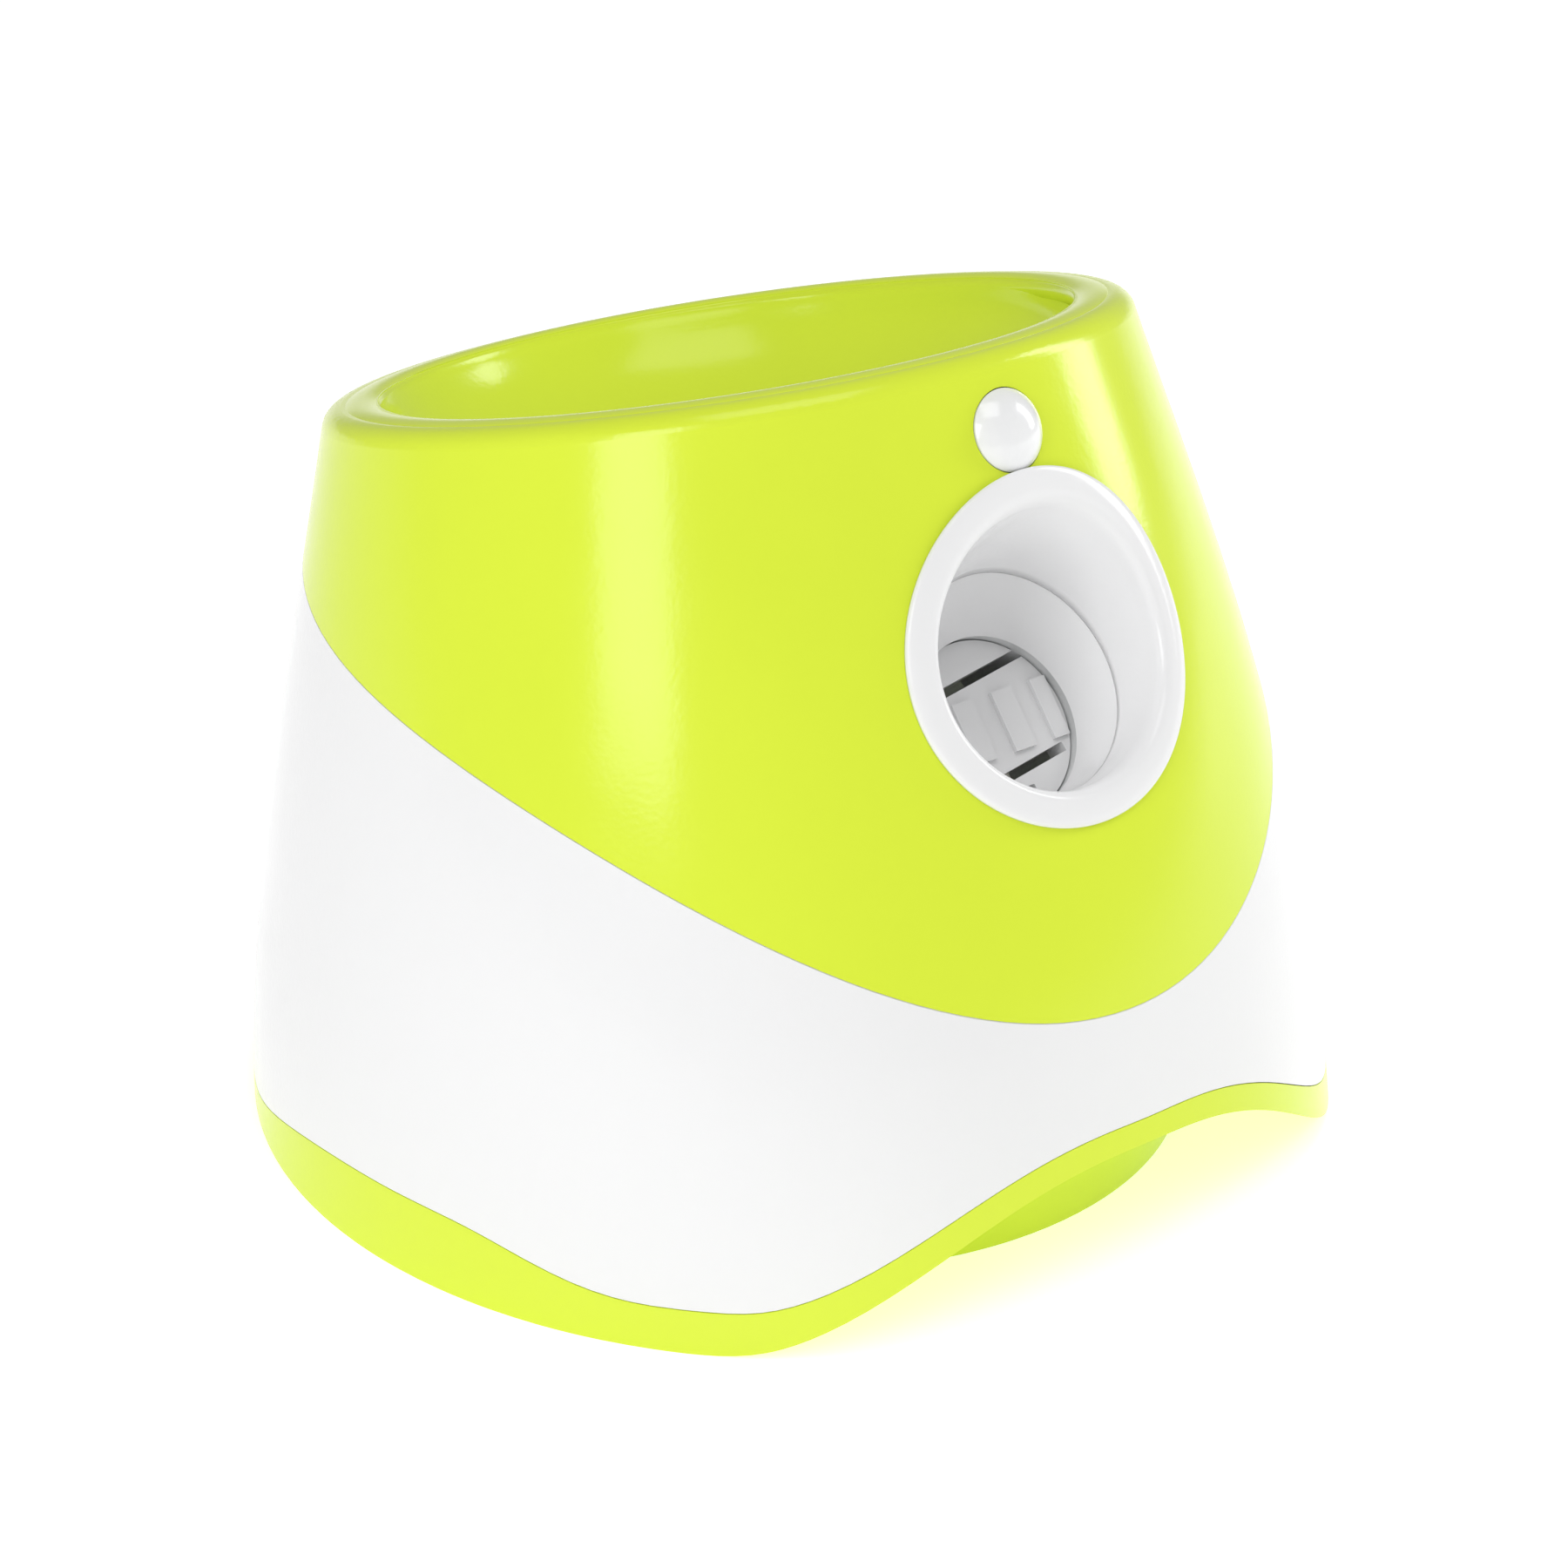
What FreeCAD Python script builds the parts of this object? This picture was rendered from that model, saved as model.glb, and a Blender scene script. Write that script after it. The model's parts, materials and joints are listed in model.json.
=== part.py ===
import FreeCAD, Part
import math
import os
import Sketcher
from FreeCAD import Placement, Rotation, Vector

# Automatic ball launcher for a dog, in millimetres.
# The launch hole faces -Y, +Z is up and the machine stands on Z = 0.
os.makedirs("parts", exist_ok=True)
doc = FreeCAD.newDocument("BallLauncher")

# Driving dimensions: one alias, one plain number and what it measures.
DIMENSIONS = [
    # Outer body: tilted circles from the floor up to the rim.
    ("base_radius", 165.0, "body radius at the floor"),
    ("low_radius", 158.9, "body radius at the low section"),
    ("low_height", 56.0, "height of the low section"),
    ("low_back", 6.5, "how far the low section leans back"),
    ("waist_radius", 148.0, "body radius at the waist section"),
    ("waist_height", 112.0, "height of the waist section"),
    ("waist_back", 14.6, "how far the waist section leans back"),
    ("shoulder_radius", 133.6, "body radius at the shoulder section"),
    ("shoulder_height", 168.0, "height of the shoulder section"),
    ("shoulder_back", 25.3, "how far the shoulder section leans back"),
    ("rim_radius", 118.4, "outer radius of the rim"),
    ("rim_height", 223.3, "height of the rim's centre"),
    ("rim_back", 37.0, "how far the rim leans back"),
    ("rim_tilt", 15.15, "tilt of the rim in degrees, front up"),
    ("wall", 2.6, "wall of the outer shells"),
    ("part_gap", 0.3, "gap between pieces that only sit together"),
    ("running_gap", 0.05, "radial clearance of a shaft in its bore"),
    ("rim_round", 6.5, "rounding on the outside of the rim"),
    ("lip_width", 15.7, "width of the rim's lip"),
    ("lip_thickness", 3.0, "thickness of the rim's lip"),
    # Seam between the top shell and the lower shell, seen from the side.
    ("seam_front", 58.0, "seam height at the front end of the cut"),
    ("seam_near", 100.6, "seam height at the second point"),
    ("seam_middle", 138.4, "seam height at the third point"),
    ("seam_far", 158.6, "seam height at the fourth point"),
    ("seam_back", 176.0, "seam height at the back end of the cut"),
    # Foot line between the lower shell and the base tray.
    ("arch_height", 45.5, "clear height of the front arch"),
    ("arch_angle", 46.0, "half angle of the front arch in degrees"),
    ("arch_depth", 45.0, "how far the arch reaches in"),
    ("trim_arch", 7.2, "height of the trim over the arch"),
    ("trim_foot", 13.0, "height of the trim at the feet"),
    ("trim_crest", 23.3, "height of the trim at the sides"),
    ("trim_back", 8.0, "height of the trim at the back"),
    ("rise_angle", 53.0, "where the trim starts to rise to the sides, in degrees"),
    ("crest_angle", 77.0, "where the trim is highest at the sides, in degrees"),
    ("fall_angle", 120.0, "where the trim has fallen to its height at the back, in degrees"),
    # Ball, hopper and chute.
    ("hopper_wall", 2.4, "wall of the hopper"),
    ("hopper_flange", 6.0, "width of the hopper's hidden flange"),
    ("bead_height", 0.8, "how far the hopper's edge stands over the lip"),
    ("bowl_shoulder_drop", 19.5, "upper bend of the bowl below the rim"),
    ("bowl_shoulder_radius", 95.5, "radius of the bowl at its upper bend"),
    ("bowl_floor_drop", 41.0, "lower bend of the bowl below the rim"),
    ("bowl_floor_radius", 62.5, "radius of the bowl at its lower bend"),
    ("chute_radius", 27.5, "inner radius of the ball chute"),
    ("chute_wall", 2.5, "wall of the ball chute"),
    ("chute_length", 80.0, "chute from the barrel's axis to the hopper"),
    ("chute_depth", 66.0, "chute's place behind the muzzle"),
    # Barrel.
    ("muzzle_y", -98.1, "barrel axis at the muzzle"),
    ("muzzle_z", 157.6, "height of the barrel axis at the muzzle"),
    ("launch_angle", 41.5, "angle of the barrel above the floor"),
    ("throat_radius", 25.9, "opening that the ball leaves through"),
    ("throat_depth", 14.5, "throat behind the muzzle plane"),
    ("bore_radius", 26.5, "inner radius of the barrel"),
    ("barrel_wall", 3.0, "wall of the barrel"),
    ("barrel_end", 114.0, "rear end of the barrel"),
    ("cap_thickness", 8.0, "thickness of the barrel's rear cap"),
    ("cap_flange", 4.5, "flange of the rear cap around the barrel"),
    # Launch ring.
    ("ring_radius", 48.6, "outer radius of the launch ring"),
    ("ring_height", 180.1, "height where the ring's axis meets the body"),
    ("ring_angle", 33.7, "angle of the ring's axis above the floor"),
    ("ring_mouth", 37.6, "radius of the ring's mouth"),
    ("ring_proud", 1.5, "how far the ring stands off the shell"),
    ("muzzle_radius", 33.2, "radius of the muzzle inside the ring"),
    ("muzzle_lift", 6.2, "muzzle centre above the barrel axis"),
    ("ring_wall", 2.2, "wall of the ring's tube"),
    # Striker.
    ("striker_rest", 18.0, "front of the striker behind the muzzle"),
    ("striker_travel", 74.0, "how far the striker is pulled back"),
    ("striker_thickness", 8.0, "thickness of the striker head"),
    ("striker_clearance", 0.5, "gap round the striker head"),
    ("rib_pitch", 14.5, "distance between the striker's ribs"),
    ("rib_width", 7.4, "width of a rib"),
    ("rib_length", 18.2, "length of a rib"),
    ("rib_height", 1.5, "how far a rib stands out"),
    ("slot_place", 14.8, "slots above and below the striker's axis"),
    ("slot_width", 2.8, "width of a slot"),
    ("slot_length", 42.0, "length of a slot"),
    ("slot_turn", 8.5, "turn of the slots in degrees"),
    ("notch_width", 11.0, "notch in the striker head for the sector gear"),
    ("notch_skin", 3.0, "front of the striker head ahead of the deep notch"),
    ("rod_radius", 4.0, "radius of the guide rod"),
    ("rod_length", 100.0, "length of the guide rod"),
    ("spring_radius", 8.0, "middle radius of the launch spring"),
    ("spring_wire", 1.6, "wire diameter of the launch spring"),
    ("spring_pitch", 9.6, "pitch of the launch spring at rest"),
    ("rack_line", 17.0, "rack's pitch line below the barrel axis"),
    ("rack_width", 10.0, "width of the rack"),
    ("rack_body", 4.0, "thickness of the rack behind its teeth"),
    # Gear train.
    ("gear_module", 1.0, "module of every gear"),
    ("backlash", 0.2, "play between two teeth"),
    ("sector_teeth", 36.0, "teeth that a full sector gear would have"),
    ("drive_teeth", 44.0, "teeth of the drive gear"),
    ("wheel_teeth", 36.0, "teeth of a compound gear's wheel"),
    ("pinion_teeth", 12.0, "teeth of every pinion"),
    ("gear_width", 5.0, "face width of a gear"),
    ("sector_width", 9.0, "face width of the sector gear"),
    ("layer_gap", 0.8, "gap between two layers of gears"),
    ("sector_depth", 106.0, "sector gear's place behind the muzzle"),
    ("gearbox_x", 36.0, "inner face of the gearbox from the middle"),
    ("plate_thickness", 2.5, "thickness of a gearbox plate"),
    ("axle_radius", 3.0, "radius of the main axle"),
    ("pin_radius", 2.0, "radius of a gear pin"),
    ("bush_wall", 2.0, "wall of a bush"),
    ("pillar_radius", 3.5, "radius of a gearbox pillar"),
    ("motor_radius", 13.9, "radius of the motor"),
    ("motor_length", 38.0, "length of the motor's can"),
    ("motor_shaft", 1.15, "radius of the motor's shaft"),
    # Floor, battery box and cells.
    ("floor_height", 2.0, "underside of the tray's floor"),
    ("floor_thickness", 2.6, "thickness of the tray's floor"),
    ("foot_radius", 9.0, "radius of a rubber foot"),
    ("foot_circle", 136.0, "distance of the feet from the middle"),
    ("screw_circle", 154.0, "distance of the shell screws from the middle"),
    ("screw_radius", 1.5, "radius of a shell screw"),
    ("post_height", 16.0, "top of the tray's screw posts"),
    ("cell_radius", 13.1, "radius of a battery cell"),
    ("cell_length", 50.0, "length of a battery cell"),
    ("cell_pitch", 27.2, "distance between two cells"),
    ("box_front", 62.0, "front of the battery box"),
    ("box_wall", 2.0, "wall of the battery box"),
    ("box_end", 5.0, "room for a contact at each end of the cells"),
    ("door_pin", 1.5, "radius of the battery door's hinge pins"),
    # Sensor.
    ("lens_radius", 11.5, "radius of the motion sensor's lens"),
    ("lens_bulge", 5.5, "height of the lens's dome"),
    ("lens_flange", 1.5, "flange of the lens behind the shell"),
    ("lens_drop", 19.5, "lens centre below the top of the rim's front"),
    # Control panel.
    ("panel_width", 84.0, "width of the control panel"),
    ("panel_height", 50.0, "height of the control panel"),
    ("panel_middle", 108.0, "height of the panel's middle"),
    ("panel_corner", 9.0, "corner radius of the panel"),
    ("panel_wall", 2.4, "thickness of the panel"),
    ("power_radius", 9.0, "radius of the power button"),
    ("power_x", -18.0, "place of the power button"),
    ("range_radius", 7.0, "radius of the distance button"),
    ("range_x", 12.0, "place of the distance button"),
    ("button_height", 110.0, "height of the buttons"),
    ("button_proud", 1.6, "how far a button stands out"),
    ("button_travel", 1.5, "travel of a button"),
    ("light_radius", 1.5, "radius of a status light"),
    ("light_pitch", 8.0, "distance between two lights"),
    ("jack_radius", 5.5, "radius of the power inlet's nose"),
    ("board_thickness", 1.6, "thickness of a circuit board"),
]

sheet = doc.addObject("Spreadsheet::Sheet", "Sizes")
for row, (alias, value, meaning) in enumerate(DIMENSIONS, start=1):
    sheet.set("A%d" % row, meaning)
    sheet.set("B%d" % row, "%g" % value)
    sheet.setAlias("B%d" % row, alias)
doc.recompute()


def size(alias):
    """The number in the sheet's cell of that name."""
    return float(sheet.get(alias))


sub_parts = []


def keep(node, label):
    """Names a finished sub-part, whose label is also its file's name."""
    node.Label = label
    sub_parts.append(node)
    return node


# Part primitives whose sizes and places are bound to the sheet.
TURNS = {
    "z": Rotation(),
    "x": Rotation(Vector(0, 1, 0), 90),
    "y": Rotation(Vector(1, 0, 0), -90),
}


def bind(node, **formulas):
    for key, formula in formulas.items():
        node.setExpression(key.replace("_", ".") if "_" in key else key, formula)
    return node


def place(node, x="0", y="0", z="0", along="z"):
    """Puts a primitive at x, y, z with its axis along x, y or z."""
    node.Placement = Placement(Vector(), TURNS[along])
    bind(node, Placement_Base_x=x, Placement_Base_y=y, Placement_Base_z=z)
    return node


def cylinder(radius, length, x="0", y="0", z="0", along="z"):
    node = doc.addObject("Part::Cylinder", "Round")
    bind(node, Radius=radius, Height=length)
    return place(node, x, y, z, along)


def cone(radius, end_radius, length, x="0", y="0", z="0", along="z"):
    node = doc.addObject("Part::Cone", "Taper")
    bind(node, Radius1=radius, Radius2=end_radius, Height=length)
    return place(node, x, y, z, along)


def block(length, width, height, x="0", y="0", z="0"):
    node = doc.addObject("Part::Box", "Block")
    bind(node, Length=length, Width=width, Height=height)
    return place(node, x, y, z)


def fuse(*nodes):
    node = doc.addObject("Part::MultiFuse", "Joined")
    node.Shapes = list(nodes)
    return node


def group(*nodes):
    """Separate solids kept together as one sub-part."""
    node = doc.addObject("Part::Compound", "Set")
    node.Links = list(nodes)
    return node


def cut(base, *tools):
    node = doc.addObject("Part::Cut", "Hollowed")
    node.Base = base
    node.Tool = tools[0] if len(tools) == 1 else group(*tools)
    return node


def solid(shape, label):
    """A free-form sub-part, worked out with the sheet's sizes."""
    node = doc.addObject("Part::Feature", "Form")
    node.Shape = shape
    node.Placement = Placement()
    return keep(node, label)


def aim(node):
    """Moves a piece from the barrel's own frame to its place in the machine."""
    node.Placement = Placement(Vector(), Rotation(Vector(1, 0, 0), 45))
    node.setExpression("Placement.Rotation.Angle", "90 - Sizes.launch_angle")
    bind(node, Placement_Base_y="Sizes.muzzle_y", Placement_Base_z="Sizes.muzzle_z")
    return node


def sketch_on(body, role, offset="0"):
    """A sketch on one of the body's own planes, moved along its normal."""
    plane = next(item for item in body.Origin.OriginFeatures if item.Role == role)
    sketch = body.newObject("Sketcher::SketchObject", "Outline")
    sketch.AttachmentSupport = [(plane, "")]
    sketch.MapMode = "FlatFace"
    sketch.setExpression("AttachmentOffset.Base.z", offset)
    return sketch


def draw_outline(sketch, corners):
    """Closed outline whose corners are held by their distances from the origin."""
    count = len(corners)
    first = len(sketch.Geometry)
    angles = [2 * math.pi * (index + 0.3) / count for index in range(count)]
    spots = [Vector(9 * math.cos(angle), 9 * math.sin(angle), 0) for angle in angles]
    for index in range(count):
        sketch.addGeometry(Part.LineSegment(spots[index], spots[(index + 1) % count]), False)
    for index in range(count):
        nearest = first + (index + 1) % count
        sketch.addConstraint(Sketcher.Constraint("Coincident", first + index, 2, nearest, 1))
    for index, (across, up) in enumerate(corners):
        for kind, formula, start in (
            ("DistanceX", across, spots[index].x),
            ("DistanceY", up, spots[index].y),
        ):
            rule = Sketcher.Constraint(kind, -1, 1, first + index, 1, start)
            number = sketch.addConstraint(rule)
            sketch.setExpression("Constraints[%d]" % number, formula)


def draw_circle(sketch, across, up, radius):
    """Circle held by its centre and its radius."""
    number = sketch.addGeometry(Part.Circle(Vector(5, 5, 0), Vector(0, 0, 1), 3), False)
    for rule, formula in (
        (Sketcher.Constraint("DistanceX", -1, 1, number, 3, 5.0), across),
        (Sketcher.Constraint("DistanceY", -1, 1, number, 3, 5.0), up),
        (Sketcher.Constraint("Radius", number, 3.0), radius),
    ):
        index = sketch.addConstraint(rule)
        sketch.setExpression("Constraints[%d]" % index, formula)


def pad(body, sketch, length):
    feature = body.newObject("PartDesign::Pad", "Pad")
    feature.Profile = sketch
    feature.setExpression("Length", length)
    return feature


def pocket(body, sketch, length):
    """Cut from the sketch's plane against its normal."""
    feature = body.newObject("PartDesign::Pocket", "Pocket")
    feature.Profile = sketch
    feature.setExpression("Length", length)
    return feature


def turned(label, corners, role="XZ_Plane"):
    """PartDesign body turned about its Z axis from a closed half section."""
    body = doc.addObject("PartDesign::Body", "Turned")
    sketch = sketch_on(body, role)
    draw_outline(sketch, corners)
    feature = body.newObject("PartDesign::Revolution", "Turn")
    feature.Profile = sketch
    feature.ReferenceAxis = (sketch, ["V_Axis"])
    feature.Angle = 360
    return keep(body, label)


# Outer body: a smooth loft through tilted circles.
def tilted_circle(y, z, tilt, radius):
    """Circle about X = 0 whose front edge is lifted by the tilt."""
    wire = Part.Wire(Part.makeCircle(radius))
    wire.Placement = Placement(Vector(0, y, z), Rotation(Vector(1, 0, 0), -tilt))
    return wire


def body_levels():
    names = ("low", "waist", "shoulder", "rim")
    heights = [0.0] + [size(name + "_height") for name in names]
    backs = [0.0] + [size(name + "_back") for name in names]
    radii = [size("base_radius")] + [size(name + "_radius") for name in names]
    return list(zip(heights, backs, radii))


def body_form(grow=0.0, top_drop=0.0):
    """The body as a solid, grown by a wall or a gap, with its top lowered."""
    levels = body_levels()
    top = levels[-1][0]
    wires = []
    for height, back, radius in levels:
        tilt = size("rim_tilt") * height / top
        lowered = top_drop if height == top else 0.0
        wires.append(tilted_circle(back, height - lowered, tilt, radius + grow))
    return Part.makeLoft(wires, True, False)


def largest_edge(shape, low, high):
    """The longest edge whose box lies between two heights."""
    boxes = [(edge, edge.optimalBoundingBox()) for edge in shape.Edges]
    inside = [edge for edge, box in boxes if box.ZMin >= low and box.ZMax <= high]
    return max(inside, key=lambda edge: edge.Length)


def rim_direction():
    lean = math.radians(size("rim_tilt"))
    return Vector(0, math.sin(lean), math.cos(lean))


rim_centre = Vector(0, size("rim_back"), size("rim_height"))
outer_form = body_form()
inner_form = body_form(-size("wall"), size("lip_thickness"))


# Seam between the top shell and the lower shell: one curve, straight across X.
def below_seam(lift):
    reach = 2 * size("base_radius")
    front = -size("base_radius") - 10
    back = size("base_radius") + 10
    names = ("seam_front", "seam_near", "seam_middle", "seam_far", "seam_back")
    depths = (front, front * 0.714, front * 0.286, back * 0.286, back)
    points = [Vector(-reach, y, size(name) + lift) for y, name in zip(depths, names)]
    curve = Part.BSplineCurve()
    curve.interpolate(points)
    floor_front = Vector(-reach, front, -reach)
    floor_back = Vector(-reach, back, -reach)
    edges = [
        curve.toShape(),
        Part.makeLine(points[-1], floor_back),
        Part.makeLine(floor_back, floor_front),
        Part.makeLine(floor_front, points[0]),
    ]
    return Part.Face(Part.Wire(edges)).extrude(Vector(2 * reach, 0, 0))


# Foot line: its height is a function of the angle from the front.
ARCH_BELL = 1.25
BAND_BEND = 1.5
FALL_BEND = 1.6
STEPS = 60


def share_between(turn, start, end):
    """How far a turn has come from one angle to another, from 0 to 1."""
    return min(1.0, max(0.0, (turn - start) / (end - start)))


def eased(share):
    """A soft start and a soft end, from 0 to 1."""
    return 0.5 - 0.5 * math.cos(math.pi * share)


def arch_line(angle):
    """Underside of the trim: a bell over the front, on the floor elsewhere."""
    share = share_between(math.degrees(abs(angle)), 0.0, size("arch_angle"))
    return size("arch_height") * (1 - eased(share ** ARCH_BELL))


def trim_line(angle):
    """Top of the trim: over the arch, low at the feet, high at the sides, low at the back."""
    turn = math.degrees(abs(angle))
    share = share_between(turn, 0.0, size("arch_angle"))
    band = size("trim_arch") + (size("trim_foot") - size("trim_arch")) * share ** BAND_BEND
    rise = eased(share_between(turn, size("rise_angle"), size("crest_angle")))
    fall = eased(share_between(turn, size("crest_angle"), size("fall_angle")) ** FALL_BEND)
    top = arch_line(angle) + band + (size("trim_crest") - size("trim_foot")) * rise
    return top - (top - size("trim_back")) * fall


def under_wave(line, inner_radius, outer_radius, lift=0.0):
    """Ring of material from far below the floor up to a wavy foot line."""
    bottom = -20.0
    top_points = {inner_radius: [], outer_radius: []}
    for radius, points in top_points.items():
        for step in range(STEPS):
            angle = 2 * math.pi * step / STEPS - math.pi
            x = radius * math.sin(angle)
            y = -radius * math.cos(angle)
            points.append(Vector(x, y, line(angle) + lift))
    loops = {}
    for radius, points in top_points.items():
        upper = Part.BSplineCurve()
        upper.interpolate(points, PeriodicFlag=True)
        lower = Part.BSplineCurve()
        lower.interpolate([Vector(p.x, p.y, bottom) for p in points], PeriodicFlag=True)
        loops[radius] = (upper.toShape(), lower.toShape())
    inner_up, inner_low = loops[inner_radius]
    outer_up, outer_low = loops[outer_radius]
    faces = [
        Part.makeRuledSurface(outer_low, outer_up),
        Part.makeRuledSurface(inner_low, inner_up),
        Part.makeRuledSurface(inner_up, outer_up),
        Part.makeRuledSurface(inner_low, outer_low),
    ]
    shell = Part.makeShell([face for surface in faces for face in surface.Faces])
    shell.sewShape()
    ring = Part.makeSolid(Part.Shell(shell.Faces))
    if ring.Volume < 0:
        ring.reverse()
    return ring


tray_ring = under_wave(trim_line, 100.0, size("base_radius") + 25)
arch_ring = under_wave(arch_line, size("base_radius") - size("arch_depth"), size("base_radius") + 30)


# Places on the middle plane, worked out from the barrel's frame.
def from_barrel(x, up, depth):
    """A point across, above and behind the muzzle on the barrel's axis."""
    angle = math.radians(size("launch_angle"))
    y = size("muzzle_y") + depth * math.cos(angle) + up * math.sin(angle)
    z = size("muzzle_z") - depth * math.sin(angle) + up * math.cos(angle)
    return Vector(x, y, z)


def front_point(height):
    """Point of the body's front line at a height."""
    cut_line = outer_form.slice(Vector(0, 0, 1), height)[0]
    lowest = cut_line.optimalBoundingBox().YMin
    return Vector(0, lowest, height)


def leaning(angle):
    """Direction in the middle plane, towards the front and up by an angle."""
    lean = math.radians(angle)
    return Vector(0, -math.cos(lean), math.sin(lean))


def disc(centre, direction, radius):
    return Part.Wire(Part.makeCircle(radius, centre, direction))


def rod(centre, direction, radius, length):
    return Part.makeCylinder(radius, length, centre, direction)


# Launch ring: a flange that follows the shell, and a tapering mouth behind it.
ring_centre = front_point(size("ring_height"))
ring_axis = leaning(size("ring_angle"))
muzzle_axis = leaning(size("launch_angle"))
muzzle_centre = from_barrel(0, size("muzzle_lift"), 0)
MOUTH_REACH = 12.0


def mouth(grow):
    """Tapering space from in front of the ring down to the muzzle."""
    outer = disc(ring_centre + ring_axis * MOUTH_REACH, ring_axis, size("ring_mouth") + 1 + grow)
    middle = disc(ring_centre - ring_axis * 4, ring_axis, size("ring_mouth") - 1 + grow)
    inner = disc(muzzle_centre, muzzle_axis, size("muzzle_radius") + grow)
    first = Part.makeLoft([outer, middle], True, True)
    second = Part.makeLoft([middle, inner], True, True)
    return first.fuse(second)


proud_form = body_form(size("ring_proud"))
seat_form = body_form(size("part_gap"))
flange_tool = rod(ring_centre - ring_axis * 30, ring_axis, size("ring_radius"), 60)
flange = proud_form.common(flange_tool).cut(seat_form)
neck = mouth(size("ring_wall")).common(proud_form)
launch_ring = flange.fuse(neck).cut(mouth(0))

# Motion sensor: a lens in the front of the top shell, above the ring.
lens_point = front_point(size("rim_height") + size("rim_radius")
                         * math.sin(math.radians(size("rim_tilt"))) - size("lens_drop"))
nearby = front_point(lens_point.z - 8)
lens_axis = Vector(0, -(lens_point.z - nearby.z), lens_point.y - nearby.y).normalize()

# Top shell: thin shell over the seam, with a lip round the hopper's mouth.
shell_form = outer_form.cut(inner_form)
lip_hole = rod(rim_centre - rim_direction() * 20, rim_direction(),
               size("rim_radius") - size("lip_width"), 60)
top_shell = shell_form.cut(below_seam(size("part_gap"))).cut(lip_hole)
ring_hole = rod(ring_centre - ring_axis * 30, ring_axis, size("ring_mouth") + 4.5, 60)
lens_hole = rod(lens_point - lens_axis * 20, lens_axis, size("lens_radius") + size("part_gap"), 40)
collar_radius = size("lens_radius") + size("lens_flange") + size("part_gap")
collar_depth = size("wall") + 9
collar = rod(lens_point - lens_axis * collar_depth, lens_axis, collar_radius + 1.5, collar_depth)
collar = collar.cut(rod(lens_point - lens_axis * 20, lens_axis, collar_radius, 40))
flange_radius = size("rim_radius") - size("lip_width") - size("part_gap") + size("hopper_flange")
flange_room = rod(rim_centre - rim_direction() * (size("lip_thickness") + 2 + 2 * size("part_gap")),
                  rim_direction(), flange_radius + size("part_gap"), 20)
collar = collar.common(inner_form).cut(flange_room)
top_shell = top_shell.fuse(collar).cut(ring_hole).cut(lens_hole)
crest = largest_edge(top_shell, size("shoulder_height"), 2 * size("rim_height"))
top_shell = top_shell.makeFillet(size("rim_round"), [crest])
solid(top_shell, "top_shell")

# Lower shell: the white middle of the body, with the panel's window at the back.
def panel_prism(grow):
    """Rounded block through the back wall."""
    wide = size("panel_width") / 2 + grow
    tall = size("panel_height") / 2 + grow
    prism = Part.makeBox(2 * wide, 80, 2 * tall, Vector(-wide, 110, size("panel_middle") - tall))
    corners = [edge for edge in prism.Edges if edge.BoundBox.YLength > 79]
    return prism.makeFillet(size("panel_corner") + grow, corners)


lower_shell = shell_form.common(below_seam(0)).cut(tray_ring)
lower_shell = lower_shell.cut(panel_prism(size("part_gap")))
screw_spots = []
web_start = size("trim_crest") + 2
boss_top = size("low_height") + 4
for degrees in (64, 128, -128, -64):
    turn = math.radians(degrees)
    outwards = Vector(math.sin(turn), -math.cos(turn), 0)
    spot = outwards * size("screw_circle") + Vector(0, size("low_back") / 2, 0)
    screw_spots.append(spot)
    boss_start = size("post_height") + size("part_gap")
    boss = rod(spot + Vector(0, 0, boss_start), Vector(0, 0, 1), 5, boss_top - boss_start)
    web = Part.makeBox(14, 2.4, boss_top - web_start, Vector(0, -1.2, web_start))
    web.rotate(Vector(), Vector(0, 0, 1), degrees - 90)
    web.translate(spot)
    drilled = rod(spot, Vector(0, 0, 1), size("screw_radius"), 30)
    lower_shell = lower_shell.fuse(boss.fuse(web).common(outer_form)).cut(drilled)
solid(lower_shell, "lower_shell")

# Hopper: the bowl that the balls are dropped into, down to the chute.
hopper_end = from_barrel(0, size("chute_length") + size("part_gap"), size("chute_depth"))


def bowl(shrink, top_lift, end_lower=0.0):
    """Loft through circles from the rim to the chute; their tilt grows on the way."""
    reach = (hopper_end - rim_centre).Length
    stops = [
        (0.0, size("rim_radius") - size("lip_width") - size("part_gap")),
        (size("bowl_shoulder_drop") / reach, size("bowl_shoulder_radius")),
        (size("bowl_floor_drop") / reach, size("bowl_floor_radius")),
        (1.0, size("chute_radius") + size("hopper_wall")),
    ]
    wires = []
    for share, radius in stops:
        centre = rim_centre + (hopper_end - rim_centre) * share
        tilt = size("rim_tilt") + (size("launch_angle") - size("rim_tilt")) * share ** 2
        if share == 0.0:
            centre = centre + rim_direction() * top_lift
        if share == 1.0:
            centre = centre - (rim_centre - hopper_end).normalize() * end_lower
        wires.append(tilted_circle(centre.y, centre.z, tilt, radius - shrink))
    return Part.makeLoft(wires, True, False)


flange_top = rim_centre - rim_direction() * (size("lip_thickness") + size("part_gap") + 2)
bowl_top = size("rim_radius") - size("lip_width") - size("part_gap")
lip_room = rod(flange_top, rim_direction(), size("rim_radius"), 20)
lip_room = lip_room.cut(rod(flange_top, rim_direction(), bowl_top - size("part_gap") / 2, 20))
hopper = bowl(0.0, size("bead_height")).cut(lip_room)
hopper = hopper.fuse(rod(flange_top, rim_direction(), bowl_top + size("hopper_flange"), 2))
hopper = hopper.cut(bowl(size("hopper_wall"), size("bead_height") + 0.5, 1.0))
solid(hopper, "hopper")
solid(launch_ring, "launch_ring")

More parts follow.
